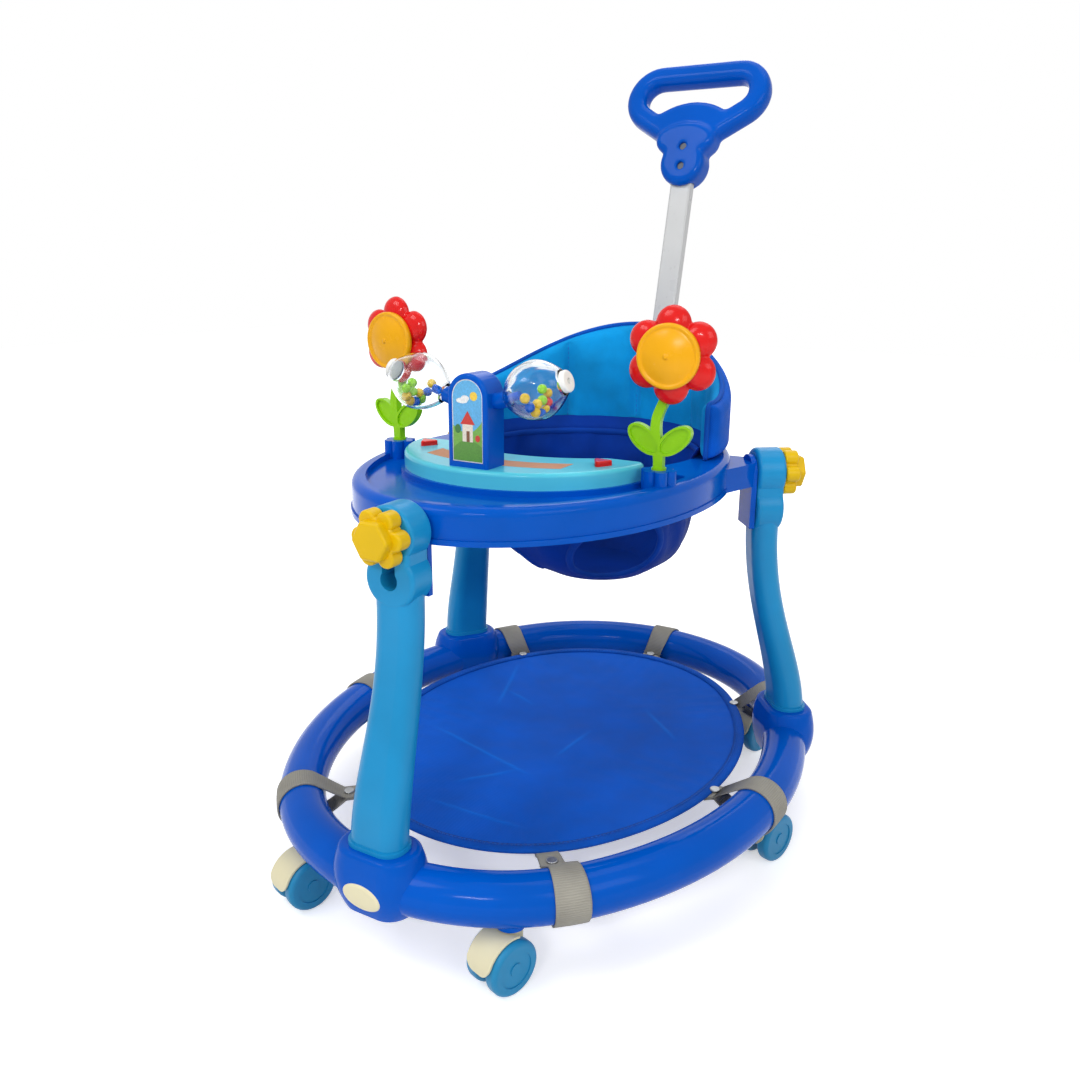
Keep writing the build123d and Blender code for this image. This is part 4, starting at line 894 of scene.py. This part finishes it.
def make_seat():
    around, down = 204, 64
    verts, uvs = [], []
    for i in range(down + 1):
        t = (1 + SEAT_FLOOR) * i / down
        for angle in turns(around):
            verts.append(seat_point(angle, t))
            uvs.append((angle * SEAT_TOP_R, t * SEAT_DROP))
    faces = grid_faces(down + 1, around, wrap_columns=True)
    seat = add_piece("seat_cloth_sling", verts, faces, seat_cloth, "tray", uvs=uvs)
    bm = bmesh.new()
    bm.from_mesh(seat.data)
    bmesh.ops.remove_doubles(bm, verts=bm.verts, dist=1e-6)
    for side in (1, -1):
        cut_open(bm, lambda p: hole_distance(p, side))
    loose = [v for v in bm.verts if not v.link_faces]
    bmesh.ops.delete(bm, geom=loose, context="VERTS")
    bmesh.ops.recalc_face_normals(bm, faces=bm.faces)
    loops = boundary_loops(bm)
    bm.to_mesh(seat.data)
    bm.free()
    thicken(seat, SEAT_THICKNESS)
    trims = []
    middle = Vector((0, SEAT_Y, SEAT_TOP_Z - SEAT_DROP / 3))
    for number, loop in enumerate(loops, 1):
        path = smooth_line(resample(loop, TRIM_STEP, True), 6, True)
        outs = [(p - middle).normalized() for p in path]
        section = ring_section(SEAT_HEM_R, 1.5)
        trims.append(sweep(f"seat_binding_{number}", path, outs, section, seat_tape, "tray", True))
    return seat, trims


def make_skirt():
    """Strip that joins the seat's hem to the foot of the back rest."""
    around = 150
    verts, uvs = [], []
    for radius, height in SKIRT_LINE:
        for k in range(around + 1):
            angle = radians(PAD_START + PAD_SPAN * k / around)
            r = radius + 0.0003 * ripple(cos(angle) * 9, sin(angle) * 9, height * 50)
            verts.append(about_seat(r, angle, height))
            uvs.append((angle * radius, height))
    faces = grid_faces(len(SKIRT_LINE), around + 1)
    skirt = add_piece("seat_skirt", verts, faces, seat_cloth, "tray", uvs=uvs)
    thicken(skirt, SKIRT_THICKNESS)
    subdivide(skirt)
    return skirt


seat, seat_trims = make_seat()
seat_trims.append(make_skirt())
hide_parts("seat_sling")


# Back rest

def pad_top(angle):
    """Height of the back rest's upper edge at a plan angle, on one wide arc."""
    half = PAD_MID_R + 0.013
    rise = PAD_TOP_Z - PAD_SIDE_Z
    arc_r = (half ** 2 + rise ** 2) / (2 * rise)
    return PAD_TOP_Z - arc_r + sqrt(arc_r ** 2 - (PAD_MID_R * cos(angle)) ** 2)


def pad_grid(across, up):
    """Angle and height of each point of the pad, and its distance from the pad's rim."""
    spots = []
    for i in range(across + 1):
        angle = radians(PAD_START + PAD_SPAN * i / across)
        top = pad_top(angle)
        for j in range(up + 1):
            z = PAD_FOOT_Z + (top - PAD_FOOT_Z) * j / up
            side_gap = min(angle - radians(PAD_START), radians(PAD_END) - angle) * PAD_MID_R
            spots.append((angle, z, min(side_gap, top - z, z - PAD_FOOT_Z)))
    return spots


def pad_point(spot, side):
    """Point of the cover, on the side of the seat (-1) or of the handle (1)."""
    angle, z, gap = spot
    reach = min(1.0, gap / PAD_EDGE_ROUND)
    return about_seat(PAD_MID_R + side * PAD_HALF * sqrt(max(0.0, 1 - (1 - reach) ** 2)), angle, z)


def make_pad():
    across, up = 114, 34
    spots = pad_grid(across, up)
    columns = up + 1
    rim = {k for k in range(len(spots)) if k // columns in (0, across) or k % columns in (0, up)}
    inner = [k for k in range(len(spots)) if k not in rim]
    verts = [pad_point(spot, -1) for spot in spots] + [pad_point(spots[k], 1) for k in inner]
    faces = grid_faces(across + 1, columns)
    front_count = len(faces)
    back = {k: k for k in rim}
    back.update((k, len(spots) + number) for number, k in enumerate(inner))
    faces += [tuple(back[k] for k in reversed(face)) for face in faces]
    uvs = [(angle * PAD_MID_R, z) for angle, z, gap in spots + [spots[k] for k in inner]]
    pad = add_piece("backrest_cushion", verts, faces, pad_cloth, "tray", uvs=uvs)
    pad.data.materials.append(pad_back_cloth)
    for polygon in pad.data.polygons:
        polygon.material_index = 0 if polygon.index < front_count else 1
    face_outward(pad)
    seams = [round((angle - PAD_START) / PAD_SPAN * across) for angle in PAD_CHANNELS]
    sewn = [k for k in range(len(spots)) if k in rim or k // columns in seams]
    sewn += [back[k] for k in inner]
    puff(pad, sewn)
    sew_seams(pad, seams, columns)
    subdivide(pad)
    return pad, rim_line(pad, across, up), seam_lines(pad, seams, columns)


def puff(piece, sewn):
    """Blows the cover up between its seams with a cloth simulation and keeps the result."""
    group = piece.vertex_groups.new(name="sewn")
    group.add(sewn, 1.0, "REPLACE")
    modifier = piece.modifiers.new("cover", "CLOTH")
    for key, value in PAD_COVER.items():
        setattr(modifier.settings, key, value)
    modifier.settings.effector_weights.gravity = 0.0
    modifier.collision_settings.use_collision = False
    scene = bpy.context.scene
    for step in range(1, PAD_FRAMES + 1):
        scene.frame_set(step)
    shaped = piece.evaluated_get(bpy.context.evaluated_depsgraph_get())
    places = [v.co.copy() for v in shaped.data.vertices]
    piece.modifiers.remove(modifier)
    scene.frame_set(1)
    for vert, place in zip(piece.data.vertices, places):
        move = place - vert.co
        if move.length > PAD_PUFF:
            move *= PAD_PUFF / move.length
        vert.co += move


def sew_seams(piece, seams, columns):
    """Draws each sewn channel into the filling."""
    for seam in seams:
        for step, depth in SEAM_DEPTHS:
            for j in range(2, columns - 2):
                vert = piece.data.vertices[(seam + step) * columns + j]
                out = Vector((vert.co.x, vert.co.y - SEAT_Y, 0)).normalized()
                vert.co += out * depth


def rim_line(piece, across, up):
    columns = up + 1
    ids = list(range(columns))
    ids += [i * columns + up for i in range(1, across)]
    ids += [across * columns + j for j in reversed(range(columns))]
    return [piece.data.vertices[k].co.copy() for k in ids]


def seam_lines(piece, seams, columns):
    verts = piece.data.vertices
    return [[verts[seam * columns + j].co.copy() for j in range(2, columns - 2)] for seam in seams]


def inward_at(point):
    return Vector((-point.x, SEAT_Y - point.y, 0)).normalized()


def make_pad_trim():
    path = smooth_line(resample(pad_rim, TRIM_STEP, False), 3, False)
    outs = [inward_at(p) for p in path]
    sweep("backrest_piping", path, outs, ring_section(PIPING_R), binding_cloth, "tray", False)
    for number, line in enumerate(pad_seams, 1):
        raised = [p + inward_at(p) * 0.0006 for p in line]
        row_name = f"backrest_stitching_{number}"
        stitches(row_name, raised, inward_at, thread, "tray", False, pitch=0.006, length=0.0042)


pad, pad_rim, pad_seams = make_pad()
make_pad_trim()
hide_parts("backrest_pad")


# Push handle grip

def softened_grip():
    """The grip with its edges run together as in a blown moulding, and its screw wells kept."""
    piece = add_object("grip_moulding", nodes["handle_grip"].data.copy())
    cells = piece.modifiers.new("cells", "REMESH")
    cells.mode = "VOXEL"
    cells.voxel_size = GRIP_CELL
    keep_shape(piece)
    screws = BVHTree.FromObject(nodes["grip_screws"], bpy.context.evaluated_depsgraph_get())
    group = piece.vertex_groups.new(name="soft")
    for vert in piece.data.vertices:
        gap = screws.find_nearest(vert.co)[3]
        group.add([vert.index], max(0.0, min(1.0, (gap - WELL_REACH) / WELL_REACH)), "REPLACE")
    for rounds, mask in ((GRIP_ROUNDS, "soft"), (2, "")):
        melt = piece.modifiers.new("melt", "SMOOTH")
        melt.factor = 0.5
        melt.iterations = rounds
        melt.vertex_group = mask
    keep_shape(piece)
    piece.data.materials.clear()
    piece.data.materials.append(royal)
    piece.data.polygons.foreach_set("use_smooth", [True] * len(piece.data.polygons))
    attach(piece, "handle")
    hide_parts("handle_grip")


def keep_shape(piece):
    """Turns a piece's modifiers into its mesh."""
    shaped = piece.evaluated_get(bpy.context.evaluated_depsgraph_get())
    mesh = bpy.data.meshes.new_from_object(shaped)
    piece.modifiers.clear()
    piece.data = mesh


softened_grip()


# Flower heads

def joint_line(name):
    """Point and unit direction of a joint's axis."""
    joint = next(j for j in frame["joints"] if j["name"] == name)
    return Vector(joint["pos_m"]), Vector(joint["axis"]).normalized()


def petal_turn(angle):
    """Angle from the middle of the nearest petal."""
    step = 2 * pi / FLOWER_PETALS
    return (angle + step / 2) % step - step / 2


def petal_edge(angle):
    """Distance from the flower's middle to its outline at an angle."""
    off = petal_turn(angle)
    across = PETAL_CIRCLE_R * sin(off)
    return PETAL_CIRCLE_R * cos(off) + sqrt(max(0.0, PETAL_R ** 2 - across ** 2))


def petal_height(angle, share):
    """Front height of the puffed petals, with a valley between each two."""
    off = abs(petal_turn(angle)) / (pi / FLOWER_PETALS)
    rim = max(0.0, (share - 0.62) / 0.38)
    round_off = sqrt(max(0.0, 1 - rim ** 2.2))
    valley = 1 - 0.5 * off ** 3 * min(1.0, share / 0.6)
    return PETAL_DEPTH * (0.35 + 0.65 * round_off * valley)


def make_flower(name):
    back, facing = joint_line(f"{name}_flower_spin")
    across = UP.cross(facing).normalized()
    around, outwards = 120, 16
    verts = []
    for face_side in (1, -1):
        for i in range(outwards + 1):
            share = i / outwards
            for angle in turns(around):
                reach = petal_edge(angle + pi / 2) * share
                high_side = petal_height(angle + pi / 2, share)
                low_side = PETAL_DEPTH * 0.35 * (1 - sqrt(max(0.0, 1 - max(0.0, (share - 0.7) / 0.3) ** 2)))
                level = (high_side if face_side > 0 else low_side) - PETAL_BEND * share ** 3
                sideways = across * (reach * cos(angle)) + UP * (reach * sin(angle))
                verts.append(back + facing * level + sideways)
    sheet = grid_faces(outwards + 1, around, wrap_columns=True)
    offset = (outwards + 1) * around
    faces = list(sheet) + [tuple(offset + k for k in reversed(face)) for face in sheet]
    head = add_piece(f"{name}_flower_head", verts, faces, red, f"{name}_flower")
    face_outward(head, weld=1e-5)
    subdivide(head)
    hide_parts(f"{name}_flower_petals")
    make_centre(name, back, facing, across)


def turned(name, start, axis, out, up, profile, material, body, segments=48):
    """A turned piece: profile holds (along, radius) pairs."""
    verts = []
    for along, radius in profile:
        for angle in turns(segments):
            verts.append(start + axis * along + out * (radius * cos(angle)) + up * (radius * sin(angle)))
    faces = grid_faces(len(profile), segments, wrap_columns=True)
    faces.append(tuple(range(segments)))
    faces.append(tuple(range((len(profile) - 1) * segments, len(profile) * segments)))
    piece = add_piece(name, verts, faces, material, body)
    face_outward(piece)
    return piece


def make_centre(name, back, facing, across):
    """Yellow disc with a rolled rim, a low dome and a small nub at its middle."""
    low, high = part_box(f"{name}_flower_centre")
    radius = (high.z - low.z) / 2
    foot = PETAL_DEPTH
    rim = [(-0.001, 0.002), (0.0, 0.0), (0.0036, 0.0), (0.0050, 0.0006), (0.0055, 0.0020), (0.0050, 0.0034),
           (0.0042, 0.0044)]
    profile = [(foot + rise, radius - inset) for rise, inset in rim]
    edge = radius - 0.0050
    for k in range(13):
        share = 1 - k / 13
        profile.append((foot + 0.0043 + 0.0055 * (1 - share ** 2), edge * share))
    top = foot + 0.0098
    profile += [(top + 0.0001, 0.0018), (top + 0.0009, 0.0016), (top + 0.0012, 0.0008)]
    centre = turned(f"{name}_flower_disc", back, facing, across, UP, profile, amber, f"{name}_flower", 72)
    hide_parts(f"{name}_flower_centre")


for name in ("right", "left"):
    make_flower(name)


# Rattle bulbs

def bulb_radius(share):
    """Radius of the bulb at a share of its length from neck to cap."""
    neck, cap, full = RATTLE_NECK_R, RATTLE_CAP_R, RATTLE_R
    if share < 0.5:
        return neck + (full - neck) * sin(share * pi) ** 0.9
    return cap + (full - cap) * cos((share - 0.5) * pi) ** 0.85


def make_bulb(name):
    """Clear egg-shaped bulb with shallow flutes."""
    start, axis = joint_line(f"{name}_rattle_spin")
    out = Vector((0, 1, 0))
    up = axis.cross(out)
    rings, around = 28, 8 * RATTLE_FLUTES
    verts = []
    for ring in range(rings + 1):
        share = ring / rings
        spot = start + axis * (RATTLE_LENGTH * share)
        for angle in turns(around):
            radius = bulb_radius(share) - 0.0005 * (1 - cos(RATTLE_FLUTES * angle)) * sin(pi * share)
            verts.append(spot + out * (radius * cos(angle)) + up * (radius * sin(angle)))
    faces = grid_faces(rings + 1, around, wrap_columns=True)
    bulb = add_piece(f"{name}_rattle_bulb", verts, faces, clear, f"{name}_rattle")
    face_outward(bulb)
    thicken(bulb, RATTLE_WALL * 0.8, offset=-1.0)
    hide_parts(f"{name}_rattle_shell")


for name in ("right", "left"):
    make_bulb(name)


# Picture on the tower: a cottage under clouds

def arch_outline(width, low, high, steps=24):
    r = width / 2
    points = [(-r, low), (r, low)]
    points += [(r * cos(pi * k / steps), high - r + r * sin(pi * k / steps)) for k in range(steps + 1)]
    return points


def hill_outline(width, low, left, middle, right, steps=12):
    points = [(-width / 2, low), (width / 2, low)]
    for k in range(steps + 1):
        f = 1 - 2 * k / steps
        height = middle + (right - middle) * max(0, f) ** 2 + (left - middle) * max(0, -f) ** 2
        points.append((f * width / 2, height))
    return points


def make_label():
    front_low, front_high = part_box("tower_front")
    low, high = front_low.z + LABEL_INSET, front_high.z - LABEL_INSET
    width = TOWER_WIDTH - 2 * LABEL_INSET
    face_y = front_low.y + LABEL_RECESS
    edge = LABEL_EDGE
    inner = width - 2 * edge
    half = inner / 2

    def z(share):
        return low + (high - low) * share

    def hills(*shares):
        return hill_outline(inner, low + edge, *map(z, shares))

    def patch(*corners):
        return [(half * x, z(share)) for x, share in corners]

    def disc(x, share, rx, rz, steps=24):
        return [(half * x + half * rx * cos(turn), z(share) + half * rz * sin(turn)) for turn in turns(steps)]

    layers = [
        (arch_outline(width - 0.0004, low + 0.0002, high - 0.0002), WHITE),
        (arch_outline(inner, low + edge, high - edge), (96, 178, 226)),
        (disc(0.45, 0.80, 0.26, 0.26), (248, 206, 70)),
        (disc(-0.36, 0.74, 0.40, 0.16), WHITE),
        (disc(-0.14, 0.77, 0.28, 0.17), WHITE),
        (hills(0.44, 0.36, 0.50), (118, 176, 70)),
        (hills(0.16, 0.27, 0.20), (88, 148, 52)),
        (patch((-0.34, 0.25), (0.38, 0.25), (0.38, 0.46), (-0.34, 0.46)), (236, 226, 206)),
        (patch((-0.48, 0.46), (0.52, 0.46), (0.02, 0.62)), (206, 52, 40)),
        (patch((-0.06, 0.25), (0.16, 0.25), (0.16, 0.38), (-0.06, 0.38)), (126, 74, 40)),
        (disc(-0.66, 0.40, 0.20, 0.26), (52, 118, 52)),
        (disc(0.72, 0.30, 0.16, 0.20), (206, 52, 40)),
    ]
    verts, faces, indices, materials = [], [], [], []
    for number, (outline, colour) in enumerate(layers):
        front_y = face_y - 0.0001 - LABEL_LAYER * (number + 1)
        back_y = face_y + 0.0002
        base, count = len(verts), len(outline)
        verts += [(x, front_y, h) for x, h in outline] + [(x, back_y, h) for x, h in outline]
        new_faces = [tuple(base + k for k in range(count))]
        new_faces.append(tuple(base + count + k for k in reversed(range(count))))
        for k in range(count):
            m = (k + 1) % count
            new_faces.append((base + k, base + count + k, base + count + m, base + m))
        faces += new_faces
        indices += [number] * len(new_faces)
        materials.append(printed(f"label_ink_{number}", colour))
    label = add_piece("tower_picture", verts, faces, materials[0], "tray", smooth=False)
    for material in materials[1:]:
        label.data.materials.append(material)
    label.data.polygons.foreach_set("material_index", indices)
    face_outward(label)


make_label()


# Plain oval plate on the front leg's socket

def make_badge():
    tree = BVHTree.FromObject(nodes["base_ring"], bpy.context.evaluated_depsgraph_get())
    rings, around = 8, 48
    verts = []
    far_y = -0.5
    for i in range(rings + 2):
        share = min(1.0, i / rings)
        for angle in turns(around):
            x = BADGE_HALF_WIDTH * share * cos(angle)
            z = BADGE_Z + BADGE_HALF_HEIGHT * share * sin(angle)
            hit, normal, index, reach = tree.ray_cast(Vector((x, far_y, z)), Vector((0, 1, 0)))
            crown = sqrt(max(0.0, 1 - max(0.0, (share - 0.8) / 0.2) ** 2))
            raised = -0.0004 if i > rings else BADGE_RISE * crown + 0.0002
            verts.append(hit + normal * raised)
    faces = grid_faces(rings + 2, around, wrap_columns=True)
    badge = add_piece("socket_plate", verts, faces, cream, "base")
    face_outward(badge, weld=1e-6)
    subdivide(badge)


make_badge()


# Stage, lights and camera

def background_rays(n):
    """One for rays from the camera, a reflection or a clear piece, otherwise zero."""
    rays = n.add("ShaderNodeLightPath").outputs
    seen = n.maths("MAXIMUM", rays["Is Camera Ray"], rays["Is Glossy Ray"])
    return n.maths("MAXIMUM", seen, rays["Is Transmission Ray"])


def make_floor():
    size = FLOOR_HALF
    mesh = bpy.data.meshes.new("floor")
    corners = [(-size, -size, 0), (size, -size, 0), (size, size, 0), (-size, size, 0)]
    mesh.from_pydata(corners, [], [(0, 1, 2, 3)])
    floor = add_object("floor", mesh)
    n = Nodes("pale_floor")
    tones = [(0.3, (0.86, 0.86, 0.86, 1)), (0.7, (0.88, 0.88, 0.88, 1))]
    n.drive("Base Color", n.ramp(n.noise(3.0, 2.0), tones))
    n.fix("Roughness", 0.9)
    n.fix("Specular IOR Level", 0.1)
    away = n.add("ShaderNodeVectorMath", operation="LENGTH")
    n.link(n.coordinates(), away.inputs["Vector"])
    glow = n.between(away.outputs["Value"], 0.50, 1.0, 0.45, 1.6, "SMOOTHSTEP")
    n.fix("Emission Color", (1, 1, 1, 1))
    n.drive("Emission Strength", n.maths("MULTIPLY", background_rays(n), glow))
    mesh.materials.append(n.block)


def make_world():
    n = Nodes("studio", world=True)
    n.fix("Color", (1, 1, 1, 1))
    n.drive("Strength", n.between(background_rays(n), SURROUNDINGS, 1.0))
    bpy.context.scene.world = n.block


def add_light(name, place, target, width, height, power):
    lamp = bpy.data.lights.new(name, "AREA")
    lamp.shape = "RECTANGLE"
    lamp.size = width
    lamp.size_y = height
    lamp.energy = power
    light = add_object(name, lamp)
    light.location = place
    light.rotation_euler = (Vector(target) - Vector(place)).to_track_quat("-Z", "Y").to_euler()


def make_camera():
    camera = add_object("camera", bpy.data.cameras.new("camera"))
    right, up = Vector(CAMERA_RIGHT).normalized(), Vector(CAMERA_UP).normalized()
    back = right.cross(up)
    rotation = Matrix((right, up, back)).transposed()
    camera.matrix_world = Matrix.Translation(CAMERA_PLACE) @ rotation.to_4x4()
    camera.data.sensor_width = SENSOR
    camera.data.lens = CAMERA_LENS
    camera.data.clip_end = 50.0
    bpy.context.scene.camera = camera


make_floor()
make_world()
for lamp in LAMPS:
    add_light(*lamp)
make_camera()
bpy.context.scene.view_settings.view_transform = "Standard"
